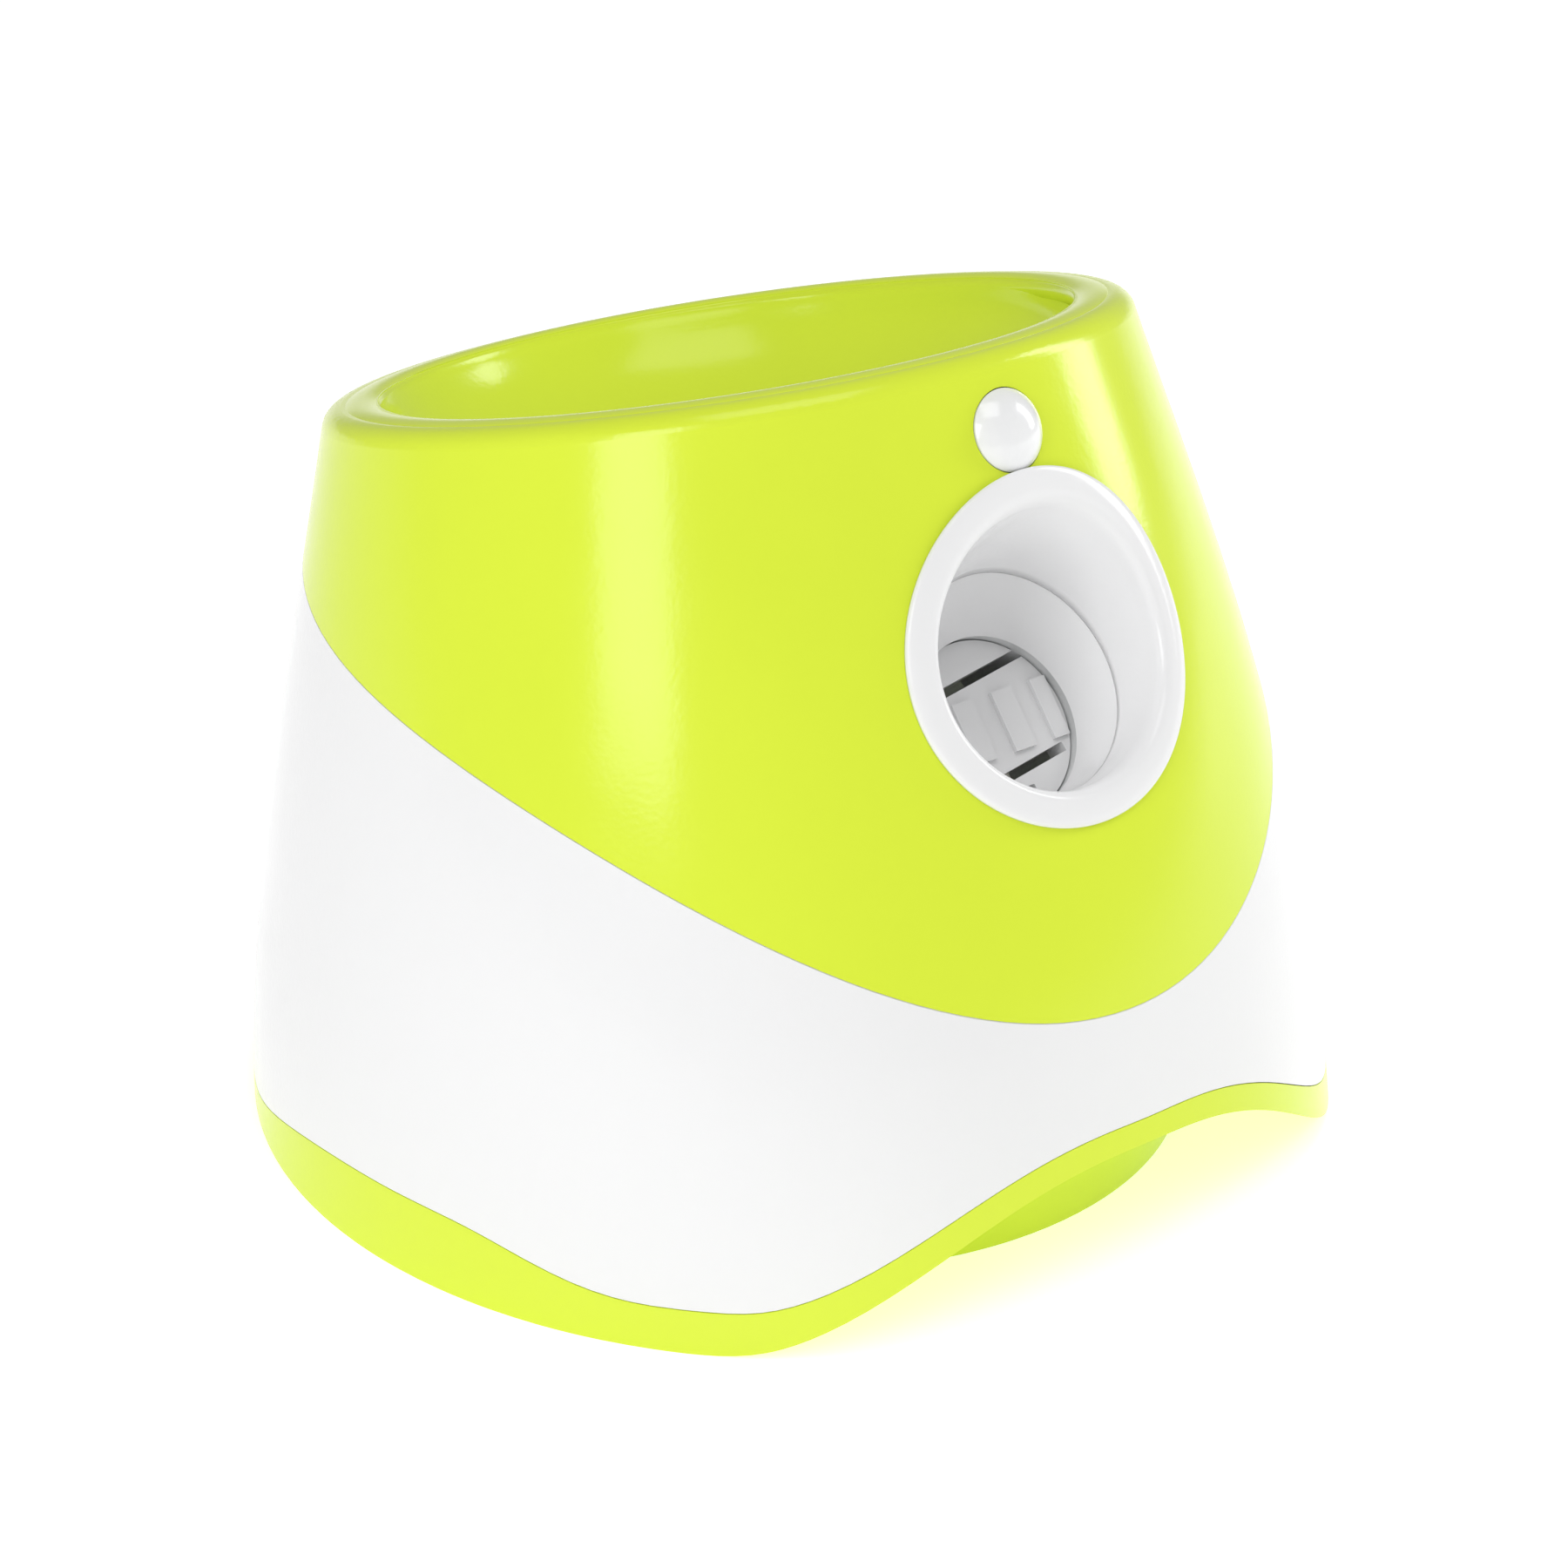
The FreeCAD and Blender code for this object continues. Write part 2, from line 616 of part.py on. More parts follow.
# Muzzle cone: the slanted ring inside the launch ring, down to the throat.
throat_centre = from_barrel(0, 0, size("throat_depth"))
cone_start = muzzle_centre - muzzle_axis * size("part_gap")


def cone_form(grow):
    return Part.makeLoft([
        disc(cone_start, muzzle_axis, size("muzzle_radius") + grow),
        disc(throat_centre, muzzle_axis, size("throat_radius") + grow),
    ], True, True)


solid(cone_form(size("ring_wall")).cut(cone_form(0.0)), "muzzle_cone")

# Base tray: trim, floor and the roof of the front arch.
def front_wedge(extra):
    """Upright wedge that holds the front arch."""
    spread = math.radians(size("arch_angle") + extra)
    reach = 2 * size("base_radius")
    side = Vector(reach * math.sin(spread), -reach * math.cos(spread), -5)
    other = Vector(-side.x, side.y, side.z)
    tip = Vector(0, 0, -5)
    face = Part.Face(Part.makePolygon([tip, other, side, tip]))
    return face.extrude(Vector(0, 0, 120))


floor_top = size("floor_height") + size("floor_thickness")
tunnel_radius = size("base_radius") - size("arch_depth") - size("floor_thickness")
roof = under_wave(arch_line, tunnel_radius, size("base_radius") + 30, size("floor_thickness"))
slab = Part.makeBox(400, 400, size("floor_thickness"), Vector(-200, -200, size("floor_height")))
tray = shell_form.common(under_wave(trim_line, 100.0, size("base_radius") + 25, -size("part_gap")))
tray = tray.fuse(slab.common(outer_form))
tray = tray.fuse(roof.common(front_wedge(0.0)).common(outer_form))
tray = tray.cut(arch_ring)

# Battery door's opening, its hinge lugs and the posts for the shell's screws.
hinge_y = size("box_front") - 6
hinge_z = floor_top - 0.4
cavity_half = size("cell_length") + size("box_end")
cavity_long = 3 * size("cell_pitch") + 1
door_back = size("box_front") + cavity_long
window_front = hinge_y - size("door_pin") - 1.3
lug_long = 5.5
lug_base = Vector(cavity_half + size("part_gap"), hinge_y - 4, size("floor_height"))
for side in (1, -1):
    corner = lug_base if side > 0 else Vector(-lug_base.x - lug_long, lug_base.y, lug_base.z)
    tray = tray.fuse(Part.makeBox(lug_long, 7.6, 5.2, corner))
hinge_bore = size("door_pin") + size("running_gap")
tray = tray.cut(rod(Vector(-200, hinge_y, hinge_z), Vector(1, 0, 0), hinge_bore, 400).common(
    Part.makeBox(2 * (cavity_half + 4.5), 20, 20, Vector(-cavity_half - 4.5, hinge_y - 10, 0))))
tray = tray.cut(Part.makeBox(2 * cavity_half, door_back - window_front, 10,
                             Vector(-cavity_half, window_front, -1)))

for spot in screw_spots:
    post = rod(spot + Vector(0, 0, size("floor_height")), Vector(0, 0, 1), 5,
               size("post_height") - size("floor_height"))
    hole = rod(spot - Vector(0, 0, 1), Vector(0, 0, 1), size("screw_radius") + 0.3, 100)
    tray = tray.fuse(post).cut(hole)
    sink = rod(spot, Vector(0, 0, 1), 3.4, 4)
    tray = tray.cut(sink)
solid(tray, "base_tray")

shell_screws = []
for spot in screw_spots:
    head = rod(spot + Vector(0, 0, 1.8), Vector(0, 0, 1), 3.0, 2.0)
    shank = rod(spot + Vector(0, 0, 3.8), Vector(0, 0, 1), size("screw_radius"), 20)
    shell_screws.append(head.fuse(shank))
solid(Part.makeCompound(shell_screws), "shell_screws")

feet = []
for degrees in (60, 138, -138, -60):
    turn = math.radians(degrees)
    spot = Vector(size("foot_circle") * math.sin(turn), -size("foot_circle") * math.cos(turn), 0)
    feet.append(rod(spot, Vector(0, 0, 1), size("foot_radius"), size("floor_height")))
solid(Part.makeCompound(feet), "rubber_feet")


# Barrel: the tube that the ball is struck out of, with ears for the main axle.
barrel_outer = "Sizes.bore_radius + Sizes.barrel_wall"
barrel_long = "Sizes.barrel_end - Sizes.throat_depth - Sizes.part_gap"
axle_up = "-(Sizes.rack_line + Sizes.gear_module * Sizes.sector_teeth / 2)"
ear_width = "Sizes.axle_radius * 2 + Sizes.bush_wall * 2 + 6"
ear_z = "-Sizes.barrel_end"


def ear(x):
    return block("2.5", "24", ear_width, x, axle_up + " - 10", ear_z)


barrel = cut(
    fuse(
        cylinder(barrel_outer, barrel_long, z="-Sizes.barrel_end"),
        ear("10.5"),
        ear("-13"),
        block("Sizes.gearbox_x - Sizes.part_gap - 22", "16", "16", "22", "-8", "-104"),
    ),
    cylinder("Sizes.bore_radius", "Sizes.barrel_end + 20", z="-Sizes.barrel_end - 10"),
    cylinder("Sizes.chute_radius", "60", z="-Sizes.chute_depth", along="y"),
    block("17", "30", "60", "-8.5", "-Sizes.bore_radius - Sizes.barrel_wall - 1 - 20", "-Sizes.barrel_end - 1"),
    cylinder("Sizes.axle_radius + Sizes.bush_wall", "60", "-30", axle_up, "-Sizes.sector_depth", "x"),
)
keep(aim(barrel), "barrel")

# Ball chute: the tube between the hopper and the barrel.
chute = cut(
    cylinder("Sizes.chute_radius + Sizes.chute_wall", "Sizes.chute_length - 10", y="10",
             z="-Sizes.chute_depth", along="y"),
    cylinder("Sizes.chute_radius", "Sizes.chute_length + 10", y="5",
             z="-Sizes.chute_depth", along="y"),
    cylinder(barrel_outer + " + Sizes.part_gap", "200", z="-190"),
)
keep(aim(chute), "ball_chute")

# Rear cap of the barrel, which guides the striker's rod and lets the rack through.
cap_start = "-(Sizes.barrel_end + Sizes.part_gap + Sizes.cap_thickness)"
cap = cut(
    cylinder(barrel_outer + " + Sizes.cap_flange", "Sizes.cap_thickness", z=cap_start),
    cylinder("Sizes.rod_radius + Sizes.running_gap + Sizes.bush_wall", "40", z=cap_start + " - 5"),
    block("17", "40", "40", "-8.5", "-Sizes.rack_line + Sizes.rack_body + 2 - 40", cap_start + " - 5"),
)
keep(aim(cap), "barrel_cap")
rod_bush = cut(
    cylinder("Sizes.rod_radius + Sizes.running_gap + Sizes.bush_wall", "Sizes.cap_thickness", z=cap_start),
    cylinder("Sizes.rod_radius + Sizes.running_gap", "40", z=cap_start + " - 5"),
)
keep(aim(rod_bush), "rod_bush")

# Striker: a slotted head with raised ribs, its rod, its rack and its spring.
head = doc.addObject("PartDesign::Body", "Head")
head_radius = "Sizes.bore_radius - Sizes.striker_clearance"
head_back = "-(Sizes.striker_rest + Sizes.striker_thickness)"
disc_sketch = sketch_on(head, "XY_Plane", head_back)
draw_circle(disc_sketch, "0", "0", head_radius)
pad(head, disc_sketch, "Sizes.striker_thickness")
slot_sketch = sketch_on(head, "XY_Plane", "-Sizes.striker_rest")
for side in ("", "-"):
    corners = []
    for along, across in ((1, 1), (-1, 1), (-1, -1), (1, -1)):
        half = "%d * Sizes.slot_length / 2" % along
        rise = "%d * Sizes.slot_width / 2" % across
        corners.append((
            "%s * cos(Sizes.slot_turn) - %s * sin(Sizes.slot_turn)" % (half, rise),
            "%s1 * Sizes.slot_place + %s * sin(Sizes.slot_turn) + %s * cos(Sizes.slot_turn)"
            % (side, half, rise),
        ))
    draw_outline(slot_sketch, corners)
pocket(head, slot_sketch, "Sizes.striker_thickness")


def sector_top(depth):
    """Top of the sector gear's path, with a gap, at a depth behind the drawn striker's front."""
    radius = size("gear_module") * size("sector_teeth") / 2
    away = size("sector_depth") - size("striker_rest") - size("striker_travel") - depth
    reach = radius + size("gear_module") + size("part_gap")
    return -size("rack_line") - radius + math.sqrt(max(0.0, reach ** 2 - away ** 2))


for start, length, depth in (
    ("0", "Sizes.striker_thickness", size("notch_skin")),
    ("Sizes.notch_skin", "Sizes.striker_thickness - Sizes.notch_skin", size("striker_thickness")),
):
    notch_sketch = sketch_on(head, "XY_Plane", "-Sizes.striker_rest - " + start)
    notch_top = "%.3f" % sector_top(depth)
    notch_low = "-Sizes.bore_radius - 2"
    notch_half = "Sizes.notch_width / 2"
    draw_outline(notch_sketch, [("-" + notch_half, notch_low), (notch_half, notch_low),
                                (notch_half, notch_top), ("-" + notch_half, notch_top)])
    pocket(head, notch_sketch, length)
rib_sketch = sketch_on(head, "XY_Plane", "-Sizes.striker_rest")
for middle, left, right in (
    (-1.5, "0.25", "0.5"), (-0.5, "0.5", "0.5"), (0.5, "0.5", "0.5"), (1.5, "0.5", "0.25"),
):
    start = "%g * Sizes.rib_pitch - %s * Sizes.rib_width" % (middle, left)
    end = "%g * Sizes.rib_pitch + %s * Sizes.rib_width" % (middle, right)
    high = "Sizes.rib_length / 2"
    low = "-Sizes.rib_length / 2"
    draw_outline(rib_sketch, [(start, low), (end, low), (end, high), (start, high)])
pad(head, rib_sketch, "Sizes.rib_height")
keep(aim(head), "striker_head")
rod_node = cylinder("Sizes.rod_radius", "Sizes.rod_length", z=head_back + " - Sizes.rod_length")
keep(aim(group(rod_node)), "striker_rod")

coil = doc.addObject("Part::Helix", "Coil")
spring_room = "Sizes.barrel_end - Sizes.striker_rest - Sizes.striker_thickness"
bind(coil, Pitch="Sizes.spring_pitch", Radius="Sizes.spring_radius",
     Height=spring_room + " - Sizes.spring_wire - 2 * Sizes.part_gap")
coil.Placement = Placement()
wire = doc.addObject("Part::Circle", "Wire")
wire.Placement = Placement(Vector(), Rotation(Vector(1, 0, 0), 90))
bind(wire, Radius="Sizes.spring_wire / 2", Placement_Base_x="Sizes.spring_radius")
spring = doc.addObject("Part::Sweep", "Spring")
doc.recompute()
spring.Sections = [wire]
spring.Spine = (coil, ["Edge%d" % number for number in range(1, len(coil.Shape.Edges) + 1)])
spring.Solid = True
spring.Frenet = True
moved = doc.addObject("Part::Compound", "SpringPlace")
bind(place(spring, z="0"), Placement_Base_z="-Sizes.barrel_end + Sizes.spring_wire / 2 + Sizes.part_gap")
moved.Links = [spring]
keep(aim(moved), "launch_spring")


# Teeth: involute flanks, worked out in the plane across the axle.
PRESSURE = math.radians(20)
ADDENDUM = 0.75
DEDENDUM = 1.1


def involute(angle):
    return math.tan(angle) - angle


def tooth_half_angle(teeth, radius):
    """Half the angle that a tooth spans at a radius."""
    pitch = size("gear_module") * teeth / 2
    base = pitch * math.cos(PRESSURE)
    middle = (math.pi * size("gear_module") / 2 - size("backlash") / 2) / (2 * pitch)
    lean = math.acos(min(1.0, base / radius))
    return middle + involute(PRESSURE) - involute(lean)


def gear_form(teeth, width, start, phase, wanted=None):
    """Spur gear about the X axis; phase is a tooth's angle from +Y towards +Z."""
    teeth = int(round(teeth))
    module = size("gear_module")
    pitch = module * teeth / 2
    root = pitch - DEDENDUM * module
    tip = pitch + ADDENDUM * module
    base = max(root + 0.02, pitch * math.cos(PRESSURE))

    def spot(radius, angle):
        return Vector(0, radius * math.cos(angle), radius * math.sin(angle))

    numbers = range(teeth) if wanted is None else wanted
    step = 2 * math.pi / teeth
    pieces = [Part.makeCylinder(root, width, Vector(), Vector(1, 0, 0))]
    radii = [base + (tip - base) * share for share in (0.0, 0.3, 0.65, 1.0)]
    for number in numbers:
        middle = math.radians(phase) + number * step
        rising = [spot(r, middle - tooth_half_angle(teeth, r)) for r in radii]
        falling = [spot(r, middle + tooth_half_angle(teeth, r)) for r in reversed(radii)]
        inner_half = tooth_half_angle(teeth, base)
        start_in = spot(root - 0.3, middle - inner_half)
        end_in = spot(root - 0.3, middle + inner_half)
        left = Part.BSplineCurve()
        left.interpolate(rising)
        right = Part.BSplineCurve()
        right.interpolate(falling)
        outline = Part.Wire([
            Part.makeLine(start_in, rising[0]),
            left.toShape(),
            Part.Arc(rising[-1], spot(tip, middle), falling[0]).toShape(),
            right.toShape(),
            Part.makeLine(falling[-1], end_in),
            Part.makeLine(end_in, start_in),
        ])
        pieces.append(Part.Face(outline).extrude(Vector(width, 0, 0)))
    gear = pieces[0].multiFuse(pieces[1:])
    gear.translate(Vector(start, 0, 0))
    return gear


def on_shaft(shape, spot, bore, label):
    """Bores a gear, puts it on its shaft and turns it into the machine's frame."""
    box = shape.BoundBox
    hole = Part.makeCylinder(bore, box.XLength + 2, Vector(box.XMin - 1, 0, 0), Vector(1, 0, 0))
    shape = shape.cut(hole)
    shape.translate(Vector(0, spot[0], spot[1]))
    node = doc.addObject("Part::Feature", "Gear")
    node.Shape = Part.makeCompound([shape])
    return keep(aim(node), label)


def along(spot, distance, degrees):
    turn = math.radians(degrees)
    return (spot[0] + distance * math.cos(turn), spot[1] + distance * math.sin(turn))


module = size("gear_module")
pinion_radius = module * size("pinion_teeth") / 2
wheel_radius = module * size("wheel_teeth") / 2
drive_radius = module * size("drive_teeth") / 2
sector_radius = module * size("sector_teeth") / 2
SECOND_TURN = -30.0
FIRST_TURN = 20.0
MOTOR_TURN = 60.0
main_spot = (-size("rack_line") - sector_radius, -size("sector_depth"))
second_spot = along(main_spot, drive_radius + pinion_radius, SECOND_TURN)
first_spot = along(second_spot, wheel_radius + pinion_radius, FIRST_TURN)
motor_spot = along(first_spot, wheel_radius + pinion_radius, MOTOR_TURN)
half_pinion = 180 / size("pinion_teeth")

layer_step = size("gear_width") + size("layer_gap")
layer_a = size("gearbox_x") + size("plate_thickness") + size("layer_gap")
layer_b = layer_a + layer_step
layer_c = layer_b + layer_step
outer_plate_x = layer_c + layer_step
width = size("gear_width")

travel_angle = size("striker_travel") / sector_radius
sector_step = 2 * math.pi / size("sector_teeth")
sector_count = int(math.ceil(travel_angle / sector_step)) + 1
sector = gear_form(size("sector_teeth"), size("sector_width"), -size("sector_width") / 2,
                   0.0, range(-1, sector_count))
on_shaft(sector, main_spot, size("axle_radius"), "sector_gear")
on_shaft(gear_form(size("drive_teeth"), width, layer_a, SECOND_TURN),
         main_spot, size("axle_radius"), "drive_gear")


def compound(spot, wheel_x, wheel_phase, pinion_x, pinion_phase, label):
    wheel = gear_form(size("wheel_teeth"), width, wheel_x, wheel_phase)
    pinion = gear_form(size("pinion_teeth"), width, pinion_x, pinion_phase)
    between = min(wheel_x, pinion_x) + width
    collar = Part.makeCylinder(pinion_radius - 1.3, size("layer_gap"),
                               Vector(between, 0, 0), Vector(1, 0, 0))
    gear = wheel.fuse(collar).fuse(pinion)
    return on_shaft(gear, spot, size("pin_radius") + size("running_gap"), label)


compound(second_spot, layer_b, FIRST_TURN, layer_a, SECOND_TURN + 180 + half_pinion,
         "second_gear")
compound(first_spot, layer_c, MOTOR_TURN, layer_b, FIRST_TURN + 180 + half_pinion,
         "first_gear")
on_shaft(gear_form(size("pinion_teeth"), width, layer_c, MOTOR_TURN + 180 + half_pinion),
         motor_spot, size("motor_shaft"), "motor_pinion")

# Rack under the rod: its teeth mesh with the sector gear.
pitch_length = math.pi * module
rack_y = -size("rack_line")
tooth_count = int(size("striker_travel") / pitch_length) + 3
half_tooth = (pitch_length / 2 - size("backlash") / 2) / 2
slope = math.tan(PRESSURE)
last_tooth = -size("sector_depth") - 1.5 * pitch_length
back_end = last_tooth - pitch_length / 2
front_end = -size("striker_rest") - size("striker_thickness")
points = [(rack_y + DEDENDUM + size("rack_body"), front_end),
          (rack_y + DEDENDUM + size("rack_body"), back_end),
          (rack_y + DEDENDUM, back_end)]
for number in range(tooth_count):
    middle = last_tooth + number * pitch_length
    wide = half_tooth + DEDENDUM * module * slope
    narrow = half_tooth - ADDENDUM * module * slope
    points += [(rack_y + DEDENDUM * module, middle - wide),
               (rack_y - ADDENDUM * module, middle - narrow),
               (rack_y - ADDENDUM * module, middle + narrow),
               (rack_y + DEDENDUM * module, middle + wide)]
points += [(rack_y + DEDENDUM, front_end)]
outline = [Vector(-size("rack_width") / 2, up, deep) for up, deep in points]
rack = Part.Face(Part.makePolygon(outline + outline[:1]))
rack_node = doc.addObject("Part::Feature", "Rack")
rack_node.Shape = rack.extrude(Vector(size("rack_width"), 0, 0))
keep(aim(rack_node), "striker_rack")

# Shafts, bushes and pins of the gear train.
def shaft(radius, start, end, spot):
    return Part.makeCylinder(radius, end - start, Vector(start, spot[0], spot[1]), Vector(1, 0, 0))


def placed(shape, label):
    node = doc.addObject("Part::Feature", "Piece")
    node.Shape = shape
    return keep(aim(node), label)


EAR_OUTSIDE = -13.0
outer_end = outer_plate_x + size("plate_thickness")
placed(shaft(size("axle_radius"), EAR_OUTSIDE - 2, outer_end, main_spot), "main_axle")
bushes = []
bush_radius = size("axle_radius") + size("bush_wall")
for start in (EAR_OUTSIDE, 10.5, size("gearbox_x"), outer_plate_x):
    ring = shaft(bush_radius, start, start + 2.5, main_spot)
    bushes.append(ring.cut(shaft(size("axle_radius") + size("running_gap"), -50, 150, main_spot)))
placed(Part.makeCompound(bushes), "axle_bushes")
pins = [shaft(size("pin_radius"), size("gearbox_x"), outer_end, spot)
        for spot in (second_spot, first_spot)]
placed(Part.makeCompound(pins), "gear_pins")

# Gearbox plates with their pillars.
pillar_spots = [(-20.0, -78.0), (40.0, -85.0), (12.0, -138.0), (-50.0, -130.0)]
plate_corners = [(-57, -137), (-41, -88), (-25, -71), (38, -76),
                 (45, -83), (43, -100), (19, -145), (5, -146)]


def plate(start, motor_hole, label):
    face_points = [Vector(start, up, deep) for up, deep in plate_corners]
    shape = Part.Face(Part.makePolygon(face_points + face_points[:1]))
    shape = shape.extrude(Vector(size("plate_thickness"), 0, 0))
    corners = [edge for edge in shape.Edges if edge.BoundBox.XLength > size("plate_thickness") / 2]
    shape = shape.makeFillet(5.0, corners)
    shape = shape.cut(shaft(bush_radius, start - 1, start + 5, main_spot))
    for spot in (second_spot, first_spot):
        shape = shape.cut(shaft(size("pin_radius"), start - 1, start + 5, spot))
    for spot in pillar_spots:
        shape = shape.cut(shaft(1.5, start - 1, start + 5, spot))
    if motor_hole:
        shape = shape.cut(shaft(motor_hole, start - 1, start + 5, motor_spot))
    return placed(shape, label)


plate(size("gearbox_x"), 0, "inner_gear_plate")
plate(outer_plate_x, 5.3, "outer_gear_plate")
pillars = []
gear_screws = []
pillar_start = size("gearbox_x") + size("plate_thickness")
for spot in pillar_spots:
    pillar = shaft(size("pillar_radius"), pillar_start, outer_plate_x, spot)
    pillars.append(pillar.cut(shaft(1.5, pillar_start - 1, outer_plate_x + 1, spot)))
    screw = shaft(1.5, pillar_start + 2, outer_end, spot)
    gear_screws.append(screw.fuse(shaft(2.8, outer_end, outer_end + 1.8, spot)))
placed(Part.makeCompound(pillars), "gear_pillars")
placed(Part.makeCompound(gear_screws), "gear_screws")

# Motor: a can with a front boss, and its shaft in the pinion.
motor_x = outer_end + size("part_gap")
can = shaft(size("motor_radius"), motor_x, motor_x + size("motor_length"), motor_spot)
can = can.fuse(shaft(5.0, outer_plate_x, motor_x, motor_spot))
can = can.fuse(shaft(4.0, motor_x + size("motor_length"), motor_x + size("motor_length") + 2, motor_spot))
can = can.cut(shaft(size("motor_shaft") + size("running_gap"), 0, motor_x + 25, motor_spot))
placed(can, "motor")
placed(shaft(size("motor_shaft"), layer_c, motor_x + 24, motor_spot), "motor_shaft")

# Cradle: two walls that carry the barrel on the tray's floor.
barrel_space = rod(from_barrel(0, 0, 0), from_barrel(0, 0, 1) - from_barrel(0, 0, 0),
                   size("bore_radius") + size("barrel_wall") + size("part_gap"), 200)
axle_spot = from_barrel(0, main_spot[0], size("sector_depth"))
cradle_foot = floor_top + size("part_gap")
cradle = Part.makeBox(46, 46, 3, Vector(-26, -73, cradle_foot))
for x in (-26, 16.5):
    cradle = cradle.fuse(Part.makeBox(3.5, 46, 88, Vector(x, -73, cradle_foot)))
cap_space = rod(from_barrel(0, 0, size("barrel_end") - 0.5),
                from_barrel(0, 0, 1) - from_barrel(0, 0, 0),
                size("bore_radius") + size("barrel_wall") + size("cap_flange") + size("part_gap"),
                size("cap_thickness") + 1.5)
cradle = cradle.cut(barrel_space).cut(cap_space)
cradle = cradle.cut(rod(Vector(0, axle_spot.y, axle_spot.z), Vector(1, 0, 0), bush_radius, 40))
solid(cradle, "barrel_cradle")

# Battery box, its cells, contacts and door.
box_base = floor_top + size("part_gap")
cell_z = box_base + size("cell_radius") + 0.5
box_top = cell_z + size("cell_radius") + 1.5
half = cavity_half
inner_box = Part.makeBox(2 * half, cavity_long, box_top - box_base + 10,
                         Vector(-half, size("box_front"), box_base - 10))
grown = size("box_wall")
battery_box = Part.makeBox(2 * (half + grown), cavity_long + 2 * grown, box_top - box_base + grown,
                           Vector(-half - grown, size("box_front") - grown, box_base)).cut(inner_box)
solid(battery_box, "battery_box")
cells = []
contacts = []
for side in (1, -1):
    for row in range(3):
        y = size("box_front") + size("cell_pitch") * (row + 0.5) + 0.5
        way = Vector(side, 0, 0)
        start = Vector(side * 1.2, y, cell_z)
        cell = rod(start, way, size("cell_radius"), size("cell_length") - 1.5)
        nub = rod(start + way * (size("cell_length") - 1.5), way, 3.2, 1.5)
        cells.append(cell.fuse(nub))
        outer_x = side * half - (0.5 if side > 0 else 0.0)
        contacts.append(Part.makeBox(0.5, 14, 14, Vector(outer_x, y - 7, cell_z - 7)))
        contacts.append(Part.makeCone(2.4, 4.5, half - size("cell_length") - 2.1,
                                      Vector(side * (size("cell_length") + 1.5), y, cell_z), way))
solid(Part.makeCompound(cells), "battery_cells")
solid(Part.makeCompound(contacts), "battery_contacts")

gap = size("part_gap")
door_top = size("floor_height") + 2.4
door = Part.makeBox(2 * (half - gap), door_back - gap - hinge_y, 2.4,
                    Vector(-half + gap, hinge_y, size("floor_height")))
knuckle = rod(Vector(-half + gap, hinge_y, hinge_z), Vector(1, 0, 0), 2.2, 2 * (half - gap))
pin = rod(Vector(-half - 4, hinge_y, hinge_z), Vector(1, 0, 0), size("door_pin"), 2 * (half + 4))
door = door.fuse(knuckle).fuse(pin)
solid(door, "battery_door")

# Motion sensor: lens, holder, sensor can and board, one behind the other.
def behind(distance):
    return lens_point - lens_axis * distance


bulge = size("lens_bulge")
dome_radius = (size("lens_radius") ** 2 + bulge ** 2) / (2 * bulge)
dome_centre = lens_point + lens_axis * (bulge - dome_radius)
flange_start = size("wall") + 1.6
lens = rod(behind(flange_start + 1), lens_axis, size("lens_radius"), flange_start + 20)
lens = lens.common(Part.makeSphere(dome_radius, dome_centre).fuse(
    rod(behind(flange_start + 1), lens_axis, size("lens_radius"), flange_start + 1)))
lens = lens.fuse(rod(behind(flange_start + 1.6), lens_axis,
                     size("lens_radius") + size("lens_flange"), 1.6))
hollow = rod(behind(flange_start + 2), lens_axis, size("lens_radius") - 1.4, flange_start + 12)
hollow = hollow.common(Part.makeSphere(dome_radius - 1.3, dome_centre).fuse(
    rod(behind(flange_start + 2), lens_axis, size("lens_radius") - 1.4, flange_start + 2)))
solid(lens.cut(hollow), "sensor_lens")
holder_start = flange_start + 1.6 + gap
holder_radius = size("lens_radius") + size("lens_flange")
holder = rod(behind(holder_start + 4), lens_axis, holder_radius, 4)
holder = holder.cut(rod(behind(holder_start + 7), lens_axis, holder_radius - 1.8, 8))
solid(holder, "sensor_holder")
board_start = holder_start + 4 + gap
solid(rod(behind(board_start + size("board_thickness")), lens_axis, holder_radius,
          size("board_thickness")), "sensor_board")
solid(rod(behind(board_start), lens_axis, 4.6, 4.5), "motion_sensor")


# Control panel: it fills the window in the back of the lower shell.
back_y = outer_form.slice(Vector(0, 0, 1), size("button_height"))[0].optimalBoundingBox().YMax
panel_inner = size("wall") + size("part_gap") + 1.8
plug = panel_prism(0).common(outer_form.cut(body_form(-panel_inner)))
rear_flange = panel_prism(4).common(body_form(-size("wall") - size("part_gap")).cut(body_form(-panel_inner)))
panel = plug.fuse(rear_flange)
board_y = back_y - 14.2
to_back = Vector(0, 1, 0)


def back_rod(x, z, radius, start, end):
    """Rod through the back wall, between two depths behind its middle."""
    return rod(Vector(x, back_y + start, z), to_back, radius, end - start)


buttons = [
    ("power_button", size("power_x"), size("power_radius")),
    ("distance_button", size("range_x"), size("range_radius")),
]
for label, x, radius in buttons:
    panel = panel.cut(back_rod(x, size("button_height"), radius + size("part_gap"), -30, 30))
speaker_x = -2.0
speaker_z = 94.5
speaker_seat = back_rod(speaker_x, speaker_z, 10, -6.7, 0).cut(back_rod(speaker_x, speaker_z, 8.5, -7, 1))
panel = panel.fuse(speaker_seat.common(outer_form))
for step in (-1, 0, 1):
    slot_z = speaker_z + 3.5 * step
    panel = panel.cut(Part.makeBox(12, 30, 1.6, Vector(speaker_x - 6, back_y - 15, slot_z - 0.8)))
for x in (-34, 34):
    for z in (90, 126):
        panel = panel.fuse(back_rod(x, z, 2.5, -14.2, 0).common(body_form(-1.0)))
jack_x = 28.0
jack_z = 95.0
